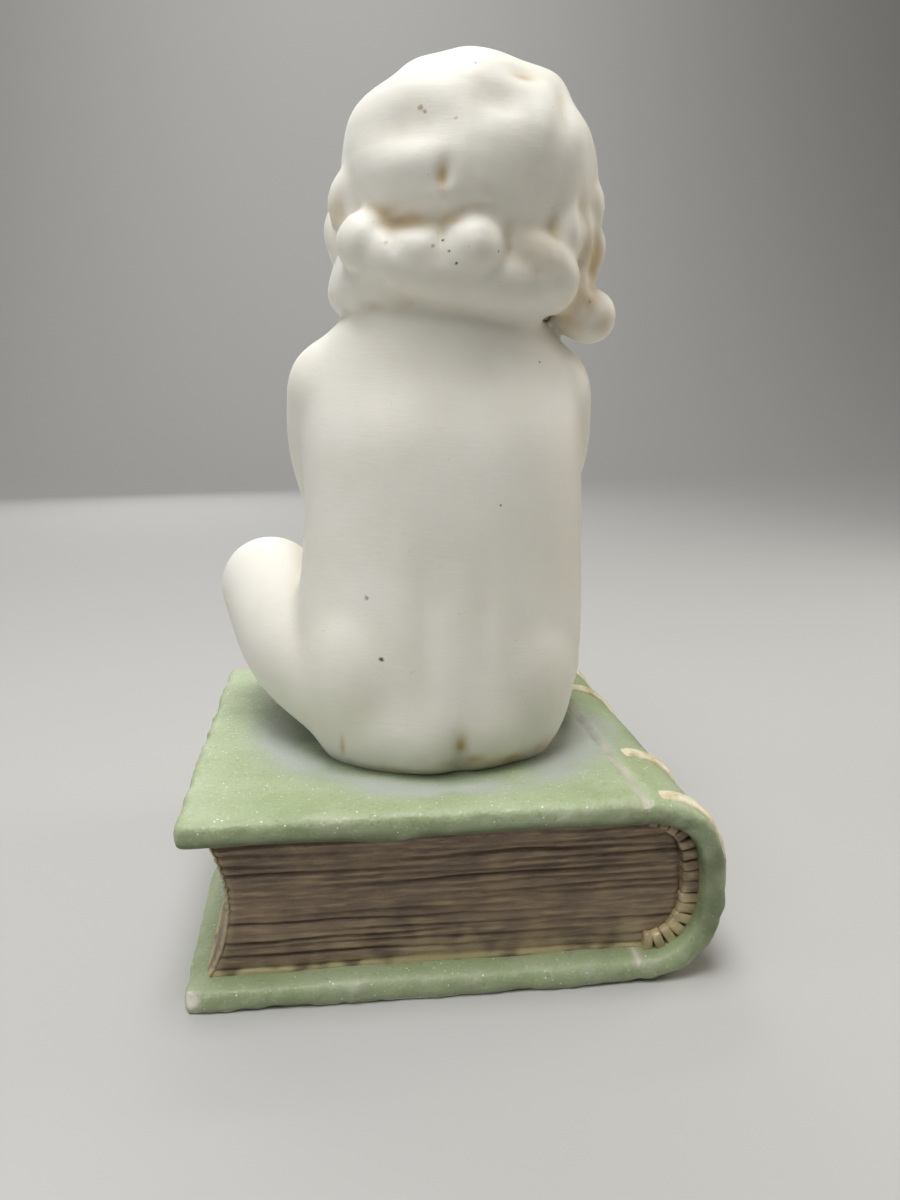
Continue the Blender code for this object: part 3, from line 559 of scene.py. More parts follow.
def child_mesh():
    """The whole child in one skin, in millimetres, in place on the book."""
    body = bmesh.new()
    add_torso(body)
    for stations in LIMBS.values():
        add_limb(body, stations)
    for mass in ROUND_MASSES:
        add_ball(body, mass)
    body_voxel = max(CLAY_VOXEL, 0.6)
    body_skin = fused(body, body_voxel, int(20 * (0.9 / body_voxel) ** 2))
    moved(body_skin, BODY_MOVES)

    place = head_place()
    head = bmesh.new()
    for mass in HAIR_CAP + FACE + PAIRS:
        add_ball(head, mass, place)
    for mass in NAPE_BALLS:
        add_ball(head, mass)
    for stations in (NOSE, *LIPS, *FRONT_LOCKS):
        add_limb(head, stations, place, 4, 18)
    for stations in NAPE_LOCKS + SIDE_LOCKS:
        add_limb(head, stations, steps=4, sides=18)
    head_skin = fused(head, CLAY_VOXEL, int(4 * (0.5 / CLAY_VOXEL) ** 2 + 1))
    moved(head_skin, HAIR_MOVES)
    far_moves = tuple((mirrored(spot), *rest) for spot, *rest in PAIRED_FACE_MOVES)
    moved(head_skin, FACE_MOVES + PAIRED_FACE_MOVES + far_moves, place)

    whole = bmesh.new()
    whole.from_mesh(body_skin)
    whole.from_mesh(head_skin)
    for mass in PALMS + TOES:
        add_ball(whole, mass)
    for stations in FINGERS:
        add_limb(whole, stations, steps=4, sides=14)
    mesh = fused(whole, CLAY_VOXEL, 2)
    points = points_of(mesh)
    root = smoothstep((points[:, 1] - 9.0) / 5.0) * bell(points[:, 2] - NAPE_ROOT, 2.4)
    points += root[:, None] * (neighbour_mean(mesh, points, int(7 / CLAY_VOXEL**2)) - points)
    set_points(mesh, points)
    local = in_place(points_of(mesh), place)
    face = (local[:, 1] < -10) & (np.abs(local[:, 0]) < 9.5) & (local[:, 2] > -17) & (local[:, 2] < 2.5)
    refined(mesh, face)
    far_lids = [(tuple(map(mirrored, path)), *rest) for path, *rest in LID_LINES]
    engraved(mesh, (MOUTH_LINE, *LID_LINES, *far_lids), place)

    points = points_of(mesh)
    points[:, 1] += SEAT_Y
    points[:, 2] += BOOK_THICKNESS
    floor = BOOK_THICKNESS - dish_depth(points[:, 0], points[:, 1]) - SEAT_SINK
    points[:, 2] = np.maximum(points[:, 2], floor)
    set_points(mesh, points)
    return mesh


# Book


def dish_depth(x, y):
    """How far the top board is hollowed at a place, a flat floor with a soft rim."""
    reach = np.hypot(x / DISH_RADIUS_X, y / DISH_RADIUS_Y)
    return DISH_DEPTH * (1.0 - smoothstep((reach - DISH_FLOOR) / (1.0 - DISH_FLOOR)))


def spine_curve(depth, half_height, steps=28):
    """Points of the full, rounded spine, from its top joint round the outside to its bottom joint."""
    points = []
    for step in range(steps + 1):
        angle = math.pi / 2 - math.pi * step / steps
        across = abs(math.cos(angle)) ** (2 / SPINE_FULLNESS)
        up = math.copysign(abs(math.sin(angle)) ** (2 / SPINE_FULLNESS), math.sin(angle))
        points.append((HINGE_X - depth * across, MIDDLE_Z + half_height * up))
    return points


def fore_edge_x(level):
    """Where the hollow fore-edge of the page block lies, at a height given as a share."""
    return CASE_LEFT - FORE_SQUARE - FORE_HOLLOW * 4.0 * level * (1.0 - level)


def leaf_front(height):
    """Where the fore-edge lies at a height above the book's underside."""
    return fore_edge_x(np.clip((height - BOARD) / (BOOK_THICKNESS - 2 * BOARD), 0, 1))


def extruded(outline, start_y, end_y):
    """A closed outline in X and Z, extruded along Y, as a mesh."""
    curve = bpy.data.curves.new("outline", "CURVE")
    curve.dimensions = "2D"
    curve.fill_mode = "BOTH"
    curve.extrude = (end_y - start_y) / 2
    spline = curve.splines.new("POLY")
    spline.points.add(len(outline) - 1)
    for point, (x, z) in zip(spline.points, outline):
        point.co = (x, z, 0.0, 1.0)
    spline.use_cyclic_u = True
    drawn = new_object("outline", curve)
    bm = bmesh.new()
    bm.from_mesh(evaluated_mesh(drawn))
    bpy.data.objects.remove(drawn)
    bmesh.ops.remove_doubles(bm, verts=bm.verts, dist=1e-4)
    upright = Matrix.Translation((0.0, (start_y + end_y) / 2, 0.0)) @ Matrix.Rotation(math.pi / 2, 4, "X")
    bmesh.ops.transform(bm, matrix=upright, verts=bm.verts)
    return mesh_from(bm)


def case_mesh():
    """The case with a core in place of the leaves, cast soft-edged and a little uneven."""
    outline = [(CASE_LEFT, BOOK_THICKNESS), (HINGE_X, BOOK_THICKNESS)]
    outline += spine_curve(SPINE_DEPTH, MIDDLE_Z - BAND_RISE)[1:-1]
    outline += [(HINGE_X, 0.0), (CASE_LEFT, 0.0), (CASE_LEFT, BOARD)]
    outline += spine_curve(SPINE_DEPTH - SPINE_WALL, MIDDLE_Z - BOARD)[::-1]
    outline += [(CASE_LEFT, BOOK_THICKNESS - BOARD)]
    bm = bmesh.new()
    bm.from_mesh(extruded(outline, -HALF_LENGTH, HALF_LENGTH))
    between = BOOK_THICKNESS - 2 * BOARD
    core = [(fore_edge_x(step / 8) - CORE_INSET, BOARD + between * step / 8) for step in range(9)]
    core = [(core[0][0], BOARD - CORE_INSET), *core, (core[-1][0], BOOK_THICKNESS - BOARD + CORE_INSET)]
    spine = spine_curve(SPINE_DEPTH - SPINE_WALL + CORE_INSET, MIDDLE_Z - BOARD + CORE_INSET)
    half = HALF_LENGTH - SQUARES - CORE_INSET
    bm.from_mesh(extruded(core[::-1] + spine[::-1], -half, half))
    mesh = fused(bm, BOOK_VOXEL, int(22 * (0.56 / BOOK_VOXEL) ** 2))

    points = points_of(mesh)
    normals = normals_of(mesh)
    x, y, z = points.T
    rim = np.maximum(np.abs(y) - (HALF_LENGTH - LIP), x - (CASE_LEFT - LIP))
    up = np.clip(normals[:, 2], 0.0, 1.0)
    under = smoothstep(-normals[:, 2]) * (z > 3.0)
    rough = smoothstep(rim / LIP) * (1 - under)
    lumps = 0.13 * waves(points, 11.0, 3) + rough * 0.15 * waves(points, 3.4, 5)
    lumps += rough * 0.08 * waves(points, 1.2, 6)
    points += normals * lumps[:, None]
    top_under = under * (z > 20.0)
    sag = bell(x - 10.0, 4.5) * smoothstep((y - 33.5) / 2.0) * top_under
    points[:, 2] -= SAG_DROP * sag + UNDERSIDE_DROP * top_under
    worn = np.clip((rim - 0.8) / 1.8, 0.0, 1.0) ** 2
    points[:, 2] -= np.where(z > 24.5, RIM_WEAR * worn * up, 0.0)
    on_top = (z > BOOK_THICKNESS - 1.2) & (normals[:, 2] > 0.3)
    points[:, 2] -= np.where(on_top, dish_depth(x, y), 0.0)
    groove = bell(x - HINGE_X - GROOVE_OFFSET, 0.75) * np.abs(normals[:, 2])
    on_boards = np.abs(z - MIDDLE_Z) > 12.0
    points[:, 2] -= np.sign(z - MIDDLE_Z) * np.where(on_boards, GROOVE_DEPTH * groove, 0.0)
    points[:, 2] = np.where(z < MIDDLE_Z, np.maximum(points[:, 2], 0.0), points[:, 2])
    chip = near(points, CHIP_PLACE, CHIP_SIZE)
    points -= chip[:, None] * np.array(CHIP_PUSH)
    set_points(mesh, points)
    set_attribute(mesh, "chip", chip)
    return mesh


def leaf_ridges(height, along):
    """The carved leaf lines at a height: 0 on the leaves, 1 at the bottom of a groove."""
    chance = np.random.default_rng(11)
    total = np.zeros(len(height))
    line = BOARD + 1.1
    while line < BOOK_THICKNESS - BOARD - 1.2:
        sway = 0.20 * np.sin(along / chance.uniform(9, 16) + chance.uniform(0, 6))
        sway += 0.09 * np.sin(along / chance.uniform(2.5, 5) + chance.uniform(0, 6))
        fading = 0.62 + 0.38 * np.sin(along / chance.uniform(8, 14) + chance.uniform(0, 6))
        cut = chance.uniform(0.55, 1.0) * fading
        total = np.maximum(total, cut * bell(height - line - sway, chance.uniform(0.17, 0.26)))
        line += chance.uniform(0.95, 1.5)
    return total


def page_mesh():
    """The leaves' edges at the head, the fore-edge and the tail, with their carved lines."""
    rows = 100
    end_steps, fore_steps = ((130, 150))
    columns = 2 * end_steps + fore_steps
    bm = bmesh.new()
    ring = bmesh.ops.create_circle(bm, cap_ends=False, segments=columns, radius=1.0)["verts"]
    edges = list({edge for vert in ring for edge in vert.link_edges})
    first = edges
    for _ in range(rows):
        grown = bmesh.ops.extrude_edge_only(bm, edges=edges)["geom"]
        edges = [item for item in grown if isinstance(item, bmesh.types.BMEdge)]
    bmesh.ops.holes_fill(bm, edges=first + edges, sides=0)
    mesh = bpy.data.meshes.new("leaves")
    bm.to_mesh(mesh)
    bm.free()

    # Columns run along the tail from the spine, up the fore-edge, and back along the head.
    ring_x, ring_y, _ = points_of(mesh).T
    turn = (np.arctan2(ring_y, ring_x) + 0.001) % (2 * math.pi)
    column = np.unique(np.round(turn, 4), return_inverse=True)[1].ravel()
    row = np.arange(len(turn)) // columns
    low, high = BOARD - LEAF_OVERLAP, BOOK_THICKNESS - BOARD + LEAF_OVERLAP
    height = low + (high - low) * row / rows
    front = leaf_front(height)
    rise = np.clip(np.abs(height - MIDDLE_Z) / (MIDDLE_Z - BOARD + 0.6), 0, 1)
    depth = SPINE_DEPTH - SPINE_WALL + 0.4
    back = HINGE_X - depth * (1 - rise**SPINE_FULLNESS) ** (1 / SPINE_FULLNESS)
    half = HALF_LENGTH - SQUARES
    tail = np.clip(column / end_steps, 0, 1)
    fore = np.clip((column - end_steps) / fore_steps, 0, 1)
    head = np.clip((column - end_steps - fore_steps) / (end_steps - 1), 0, 1)
    x = np.where(head == 0, front, front + (back - front) * head)
    x = np.where(fore == 0, back + (front - back) * tail, x)
    y = np.where(fore == 0, -half, np.where(head == 0, -half + 2 * half * fore, half))

    on_fore = (fore > 0) & (head == 0)
    near_corner = np.where(on_fore, half - np.abs(y), np.abs(x - front))
    inward = LEAF_CORNER * 0.5 * np.clip(1 - near_corner / LEAF_CORNER, 0, 1) ** 2
    groove = leaf_ridges(height, np.where(on_fore, y, x + 50.0))
    # The leaves stop at a last cut, upright beside the wedges
    beside = bell(x - back - 2.6 - 0.3 * np.sin(height / 2.0), 0.26)
    groove = np.where((x < back + 2.4) & ~on_fore, 0.0, groove)
    groove = np.maximum(groove, np.where(on_fore, 0.0, 0.9 * beside))
    spots = np.stack([x, y, height], axis=1)
    press = LEAF_CUT * groove + 0.08 * waves(spots, 5.0, 21) + 0.04 * waves(spots, 1.2, 22) + inward
    x -= np.where(on_fore, press, 0.35 * inward * np.sign(front))
    y -= np.where(on_fore, 0.0, np.sign(y) * press)
    set_points(mesh, np.stack([x, y, height], axis=1))
    bm = bmesh.new()
    bm.from_mesh(mesh)
    mesh = mesh_from(bm)
    set_attribute(mesh, "groove", groove)
    return mesh


def ruffled(mesh, depth, size, seed):
    """The skin pushed in and out a little, as clay under a brush."""
    points = points_of(mesh)
    points += normals_of(mesh) * (depth * waves(points, size, seed))[:, None]
    set_points(mesh, points)
    return mesh


def wedge_mesh():
    """Rows of small wedges inside the spine at the head and the tail, one to a fold of leaves."""
    bm = bmesh.new()
    chance = np.random.default_rng(17)
    curve = np.array(spine_curve(SPINE_DEPTH - SPINE_WALL - 1.0, MIDDLE_Z - BOARD - 0.9, 96))
    lengths = np.concatenate([[0], np.cumsum(np.linalg.norm(np.diff(curve, axis=0), axis=1))])
    count = int(lengths[-1] / WEDGE_PITCH)
    for end in (-1, 1):
        for index in range(count):
            middle = (index + 0.5) * lengths[-1] / count
            low = index / count
            x, z = (np.interp(middle, lengths, curve[:, axis]) for axis in (0, 1))
            ahead = [np.interp(middle + 0.3, lengths, curve[:, axis]) for axis in (0, 1)]
            lean = math.atan2(ahead[1] - z, ahead[0] - x)
            cube = bmesh.ops.create_cube(bm, size=1.0)["verts"]
            rounded = bmesh.ops.bevel(
                bm,
                geom=list({edge for vert in cube for edge in vert.link_edges}),
                offset=WEDGE_BEVEL,
                segments=3,
                profile=0.5,
                affect="EDGES",
                material=-1,
            )["verts"]
            tall = WEDGE_TALL * chance.uniform(0.85, 1.08) * (0.85 + 0.5 * low)
            size = Matrix.Diagonal((WEDGE_PITCH * chance.uniform(0.88, 1.04), tall, WEDGE_DEEP, 1))
            turn = Matrix.Rotation(-lean + chance.uniform(-0.16, 0.16), 4, "Y")
            turn @= Matrix.Rotation(math.pi / 2, 4, "X")
            jitter = chance.uniform(-0.18, 0.18) + 0.4 * low
            spot = Matrix.Translation((x, end * (HALF_LENGTH - SQUARES - 0.8 + jitter), z))
            bmesh.ops.transform(bm, matrix=spot @ turn @ size, verts=list(set(rounded)))
    bmesh.ops.subdivide_edges(bm, edges=bm.edges, cuts=1, use_grid_fill=True)
    return ruffled(mesh_from(bm), 0.09, 1.1, 33)


def band_mesh():
    """The raised bands across the spine, round-topped ridges that die away at the joints."""
    bm = bmesh.new()
    run = np.array(spine_curve(SPINE_DEPTH, MIDDLE_Z - BAND_RISE, 60))
    ways = np.gradient(run, axis=0)
    ways /= np.linalg.norm(ways, axis=1, keepdims=True)
    outward = np.stack([ways[:, 1], -ways[:, 0]], axis=1)
    outward *= -np.sign(outward[len(run) // 2, 0])
    for place in BAND_PLACES:
        middle = (0.5 - place) * BOOK_LENGTH
        frames = []
        for index, (spot, way, out) in enumerate(zip(run, ways, outward)):
            share = index / (len(run) - 1)
            die = smoothstep(min(share, 1 - share) / 0.05)
            rise = max(0.15, (BAND_RISE + 0.25) * die)
            across = Vector((0, 1, 0))
            normal = Vector((out[0], 0, out[1]))
            along = Vector((way[0], 0, way[1]))
            turn = Matrix((across * BAND_WIDTH / 2, normal * rise, along)).transposed().to_4x4()
            spot = Vector((spot[0], middle, spot[1])) - normal * 0.2
            frames.append(Matrix.Translation(spot) @ turn)
        add_tube(bm, frames, 16)
    return ruffled(mesh_from(bm), 0.07, 2.5, 31)


# Materials


def add_node(material, kind, settings=None, links=None):
    """Adds a node. Settings go on its properties, sockets or ramp stops; links come from other nodes."""
    node = material.node_tree.nodes.new("ShaderNode" + kind)
    for key, value in (settings or {}).items():
        if key == "stops":
            elements = node.color_ramp.elements
            for index, (position, level) in enumerate(value):
                stop = elements[index] if index < 2 else elements.new(position)
                stop.position = position
                stop.color = linear(level) if isinstance(level, str) else (level, level, level, 1.0)
        elif isinstance(key, str) and hasattr(node, key):
            setattr(node, key, value)
        else:
            node.inputs[key].default_value = value
    for key, source in (links or {}).items():
        material.node_tree.links.new(source, node.inputs[key])
    return node.outputs


def new_material(name):
    """An empty material, and add_node ready for it."""
    material = bpy.data.materials.new(name)
    material.use_nodes = True
    material.node_tree.nodes.clear()
    return material, partial(add_node, material)


def scale_for(millimetres):
    """The scale of a texture whose features are about that wide."""
    return 1.0 / (millimetres * MM)


def bisque_material(marks):
    """Unglazed bisque porcelain, slip-cast, fettled and fired: warm white, satin-matt, with a glow in it."""
    material, add = new_material("unglazed bisque porcelain")
    place = add("TexCoord")["Object"]
    cloud = add("TexNoise", {"Scale": scale_for(14.0), "Detail": 3.0}, {"Vector": place})["Fac"]
    skin = add("ValToRGB", {"stops": ((0.3, "EAE6DA"), (0.7, "F2EFE6"))}, {"Fac": cloud})["Color"]
    # Ochre stain round the seat and in the curls, and in every crease a fainter tone that is partly dirt and
    # partly painted shade
    shades = {"stain": "BC9852", "crease": "CDB886"}
    layers = [(add("Attribute", {"attribute_name": name})["Fac"], shades[name]) for name in shades]
    # Iron specks that were in the clay, a fifth of a millimetre wide and far apart
    pepper = add("TexVoronoi", {"Scale": scale_for(0.9)}, {"Vector": place})["Distance"]
    speck = add("ValToRGB", {"stops": ((0.05, 0.6), (0.10, 0.0))}, {"Fac": pepper})["Color"]
    rare = add("TexNoise", {"Scale": scale_for(2.1), "Detail": 1.0}, {"Vector": place})["Fac"]
    where = add("ValToRGB", {"stops": ((0.66, 0.0), (0.70, 1.0))}, {"Fac": rare})["Color"]
    layers.append((add("Math", {"operation": "MULTIPLY"}, {0: speck, 1: where})[0], "5A4A36"))
    # Fine grain of the fired clay
    grain = add("TexNoise", {"Scale": scale_for(0.35), "Detail": 2.0}, {"Vector": place})["Fac"]
    # Single dark specks and brown pits, each ragged at its rim
    for spot, radius, strength, colour in marks:
        away = add("VectorMath", {"operation": "DISTANCE", 1: spot}, {0: place})["Value"]
        ragged = {"operation": "MULTIPLY_ADD", 1: 1.4 * radius}
        reach = add("Math", ragged, {0: grain, 2: away})[0]
        fade = {1: 1.2 * radius, 2: 1.9 * radius, 3: strength, 4: 0.0}
        layers.append((add("MapRange", fade, {0: reach})[0], colour))
    for share, colour in layers:
        skin = add("Mix", {"data_type": "RGBA", 7: linear(colour)}, {0: share, 6: skin})[2]
    # Strokes of the fettling brush, slanting across the back, over soft unevenness left by the mould
    lie = {"Rotation": (0.0, math.radians(28), 0.0), "Scale": (1.0, 1.0, 7.0)}
    slant = add("Mapping", lie, {"Vector": place})["Vector"]
    strokes = add("TexNoise", {"Scale": scale_for(2.6), "Detail": 2.0}, {"Vector": slant})["Fac"]
    mould = add("TexNoise", {"Scale": scale_for(3.5), "Detail": 2.0}, {"Vector": place})["Fac"]
    height = add("Math", {"operation": "MULTIPLY_ADD", 1: 0.35}, {0: strokes, 2: mould})[0]
    height = add("Math", {"operation": "MULTIPLY_ADD", 1: 0.25}, {0: grain, 2: height})[0]
    relief = add("Bump", {"Strength": 0.22, "Distance": 0.25 * MM}, {"Height": height})["Normal"]
    rough = add("ValToRGB", {"stops": ((0.3, 0.46), (0.7, 0.56))}, {"Fac": grain})["Color"]
    porcelain = {
        "IOR": 1.5,
        "Specular IOR Level": 0.45,
        "Subsurface Weight": 0.22,
        "Subsurface Radius": (1.0, 0.72, 0.45),
        "Subsurface Scale": 1.6 * MM,
    }
    ties = {"Base Color": skin, "Roughness": rough, "Normal": relief}
    surface = add("BsdfPrincipled", porcelain, ties)["BSDF"]
    add("OutputMaterial", None, {"Surface": surface})
    return material


def paint_material():
    """Sage-green paint brushed on bisque: chalky and speckled, hazed with age, with painted shade under and
    round the case.
    """
    material, add = new_material("sage paint on bisque")
    place = add("TexCoord")["Object"]
    cloud = add("TexNoise", {"Scale": scale_for(11.0), "Detail": 4.0}, {"Vector": place})["Fac"]
    sage = (0.28, "97A67A"), (0.5, "A5B38A"), (0.75, "B2BE9A")
    green = add("ValToRGB", {"stops": sage}, {"Fac": cloud})["Color"]
    # Pale chalky flecks about half a millimetre wide, and darker ones between them
    fleck = add("TexNoise", {"Scale": scale_for(0.55), "Detail": 2.0}, {"Vector": place})["Fac"]
    pale = add("ValToRGB", {"stops": ((0.60, 0.0), (0.72, 0.35))}, {"Fac": fleck})["Color"]
    pool = add("TexNoise", {"Scale": scale_for(0.8), "Detail": 2.0}, {"Vector": place})["Fac"]
    deep = add("ValToRGB", {"stops": ((0.28, 0.25), (0.4, 0.0))}, {"Fac": pool})["Color"]
    # Bare white points where the paint missed the grain, a fifth of a millimetre wide
    points = add("TexVoronoi", {"Scale": scale_for(1.0)}, {"Vector": place})["Distance"]
    point = add("ValToRGB", {"stops": ((0.09, 1.0), (0.16, 0.0))}, {"Fac": points})["Color"]
    groups = add("TexNoise", {"Scale": scale_for(2.3), "Detail": 1.0}, {"Vector": place})["Fac"]
    some = add("ValToRGB", {"stops": ((0.46, 0.0), (0.54, 1.0))}, {"Fac": groups})["Color"]
    missed = add("Math", {"operation": "MULTIPLY"}, {0: point, 1: some})[0]
    layers = [(pale, "D3DAC0"), (deep, "5D6B45"), (missed, "F0F2E4")]
    # Grime with painted contact shadow, bluish haze, rubbed lines, painted shade and the bare clay of the
    # chip and the underside
    wear = {"grime": "5F6A58", "haze": "B2B8B0", "rub": "E2D8CC", "shade": "46522E", "bare": "EDE8DA"}
    layers += [(add("Attribute", {"attribute_name": name})["Fac"], wear[name]) for name in wear]
    for share, colour in layers:
        green = add("Mix", {"data_type": "RGBA", 7: linear(colour)}, {0: share, 6: green})[2]
    grain = add("TexNoise", {"Scale": scale_for(0.4), "Detail": 3.0}, {"Vector": place})["Fac"]
    lumps = add("TexNoise", {"Scale": scale_for(1.6), "Detail": 2.0}, {"Vector": place})["Fac"]
    height = add("Math", {"operation": "MULTIPLY_ADD", 1: 0.5}, {0: grain, 2: lumps})[0]
    relief = add("Bump", {"Strength": 0.45, "Distance": 0.3 * MM}, {"Height": height})["Normal"]
    rough = add("ValToRGB", {"stops": ((0.35, 0.56), (0.7, 0.40))}, {"Fac": fleck})["Color"]
    ties = {"Base Color": green, "Roughness": rough, "Normal": relief}
    surface = add("BsdfPrincipled", {"IOR": 1.5, "Specular IOR Level": 0.5}, ties)["BSDF"]
    add("OutputMaterial", None, {"Surface": surface})
    return material


def bronze_material():
    """Bronze-brown paint dry-brushed over the leaf edges: dark in the cuts with painted shade, glinting gold
    on the ridges, with painted highlights at the corners and low down.
    """
    material, add = new_material("bronze paint on bisque")
    place = add("TexCoord")["Object"]
    cloud = add("TexNoise", {"Scale": scale_for(6.0), "Detail": 4.0}, {"Vector": place})["Fac"]
    bronze = (0.3, "78675A"), (0.55, "8E7A66"), (0.75, "A48C70")
    brown = add("ValToRGB", {"stops": bronze}, {"Fac": cloud})["Color"]
    # Gold left by the dry brush in streaks along the leaves, under a millimetre tall
    streaks = add("Mapping", {"Scale": (0.16, 0.16, 1.3)}, {"Vector": place})["Vector"]
    dust = add("TexNoise", {"Scale": scale_for(0.7), "Detail": 4.0}, {"Vector": streaks})["Fac"]
    gilt = add("ValToRGB", {"stops": ((0.48, 0.0), (0.70, 0.45))}, {"Fac": dust})["Color"]
    # Dark paint in the cuts, darkened further as painted shade, and gold where the leaves are rubbed, with
    # painted highlights at the corners and low down
    shades = {"groove": "2C2119", "gold": "E2D2A6"}
    layers = [(add("Attribute", {"attribute_name": name})["Fac"], shades[name]) for name in shades]
    for share, colour in [(gilt, "C6AF86"), *layers]:
        brown = add("Mix", {"data_type": "RGBA", 7: linear(colour)}, {0: share, 6: brown})[2]
    grain = add("TexNoise", {"Scale": scale_for(0.5), "Detail": 3.0}, {"Vector": place})["Fac"]
    relief = add("Bump", {"Strength": 0.4, "Distance": 0.3 * MM}, {"Height": grain})["Normal"]
    ties = {"Base Color": brown, "Normal": relief}
    surface = add("BsdfPrincipled", {"Metallic": 0.25, "Roughness": 0.48}, ties)["BSDF"]
    add("OutputMaterial", None, {"Surface": surface})
    return material


def gold_material():
    """Cream-gold paint brushed along the raised bands, worn through to green in places."""
    material, add = new_material("cream-gold paint on bisque")
    place = add("TexCoord")["Object"]
    patch = add("TexNoise", {"Scale": scale_for(1.8), "Detail": 3.0}, {"Vector": place})["Fac"]
    gold = add("ValToRGB", {"stops": ((0.35, "D2C49C"), (0.6, "ECE4CA"))}, {"Fac": patch})["Color"]
    wear = add("TexNoise", {"Scale": scale_for(1.1), "Detail": 3.0}, {"Vector": place})["Fac"]
    worn = add("ValToRGB", {"stops": ((0.62, 0.0), (0.72, 0.7))}, {"Fac": wear})["Color"]
    gold = add("Mix", {"data_type": "RGBA", 7: linear("97A57A")}, {0: worn, 6: gold})[2]
    grain = add("TexNoise", {"Scale": scale_for(0.6), "Detail": 3.0}, {"Vector": place})["Fac"]
    relief = add("Bump", {"Strength": 0.35, "Distance": 0.3 * MM}, {"Height": grain})["Normal"]
    ties = {"Base Color": gold, "Normal": relief}
    surface = add("BsdfPrincipled", {"Metallic": 0.1, "Roughness": 0.46}, ties)["BSDF"]
    add("OutputMaterial", None, {"Surface": surface})
    return material


# Stains and marks on the child: where in millimetres from the seat, how wide, how strong.
STAINS = (
    ((0.9, 23.0, 82.2), (0.7, 4.0, 1.6), 0.8),
    ((5.4, 20.0, 77.0), (2.8, 4.0, 1.2), 1.0),
    ((8.2, 19.0, 78.4), (2.4, 4.0, 1.0), 0.6),
    ((-0.6, 21.0, 76.9), (1.6, 4.0, 0.7), 0.6),
    ((15.0, 13.0, 78.5), (1.4, 4.0, 3.0), 0.4),
    ((-20.6, 10.0, 80.5), (1.4, 5.0, 4.5), 0.5),
    ((-21.6, 11.6, 73.0), (3.4, 6.0, 5.0), 1.0),
    ((-20.8, 11.6, 67.2), (3.6, 6.0, 3.4), 1.0),
    ((-24.8, 11.0, 64.6), (2.6, 5.0, 2.4), 0.6),
    ((-21.6, 11.0, 69.4), (2.4, 5.0, 2.2), 0.9),
    ((-12.4, 19.5, 73.6), (4.2, 5.0, 3.0), 0.32),
    ((-10.8, 18.0, 95.9), (1.6, 4.0, 0.7), 0.6),
    ((-1.3, 26.0, 3.6), (0.8, 5.0, 1.9), 0.95),
    ((-3.2, 25.0, 1.4), (2.2, 5.0, 0.9), 0.75),
    ((0.4, 25.0, 1.0), (1.8, 5.0, 0.7), 0.6),
    ((-8.0, 24.0, 0.4), (9.0, 6.0, 1.2), 0.75),
    ((-15.5, 21.0, 1.0), (6.0, 7.0, 1.5), 0.7),
    ((9.0, 25.0, -0.2), (7.0, 6.0, 0.8), 0.45),
    ((15.8, 21.4, 3.0), (0.35, 5.0, 2.2), 0.7),
    ((21.0, -2.0, 24.0), (2.6, 9.0, 9.0), 0.16),
    ((-3.0, 12.0, 70.0), (12.0, 12.0, 3.0), 0.08),
)
MARKS = (
    (10.0, 16.9, 0.34, 0.9, "3A3026"),
    (11.9, 25.5, 0.36, 0.6, "8A5A42"),
    (-14.0, 58.6, 0.20, 0.7, "3A3026"),
    (-7.3, 38.6, 0.18, 0.7, "3A3026"),
    (3.6, 90.8, 0.42, 0.65, "A27E48"),
    (3.0, 90.3, 0.30, 0.6, "9C7A45"),
    (-0.9, 89.2, 0.28, 0.45, "A8895A"),
    (-3.9, 96.9, 0.20, 0.7, "3A3026"),
    (8.3, 74.1, 0.34, 0.45, "A98C4E"),
    (2.1, 73.4, 0.34, 0.55, "9C7A45"),
    (0.8, 74.2, 0.22, 0.9, "3A3026"),
    (0.1, 72.7, 0.24, 0.9, "3A3026"),
    (-0.9, 71.1, 0.26, 0.9, "3A3026"),
    (-6.6, 72.7, 0.20, 0.7, "3A3026"),
    (-7.1, 68.4, 0.18, 0.6, "3A3026"),
    (-22.4, 67.5, 0.32, 0.7, "8A6A4A"),
)


def painted_child(mesh):
    """Where the child's bisque is stained, and where its creases are darkened with dirt and painted shade.
    """
    points = points_of(mesh) - (0.0, SEAT_Y, BOOK_THICKNESS)
    uneven = 0.65 + 0.35 * waves(points, 3.0, 41)
    stain = np.zeros(len(points))
    for centre, size, strength in STAINS:
        share = near(points, centre, size)
        stain = np.maximum(stain, strength * share * np.clip(uneven + 0.2 * share, 0, 1))
    # Creases darkened with dirt and painted shade, more in the hair
    fine = hollowness(mesh, 1.4)
    hair = smoothstep((points[:, 2] - 62) / 6)
    crease = np.clip(fine / 0.35, 0, 1) * (0.25 + 0.55 * hair) * np.clip(uneven, 0.2, 1)
    set_attribute(mesh, "stain", stain)
    set_attribute(mesh, "crease", crease)


def snapped_marks(mesh):
    """The marks in metres, each moved onto the skin behind the child."""
    points = points_of(mesh)
    marks = []
    for x, z, radius, strength, colour in MARKS:
        across = np.hypot(points[:, 0] - x, points[:, 2] - z - BOOK_THICKNESS)
        spot = points[np.argmax(np.where(across < 0.9, points[:, 1] - 2.0 * across, -np.inf))]
        marks.append((Vector((x, spot[1], z + BOOK_THICKNESS)) * MM, radius * MM, strength, colour))
    return marks


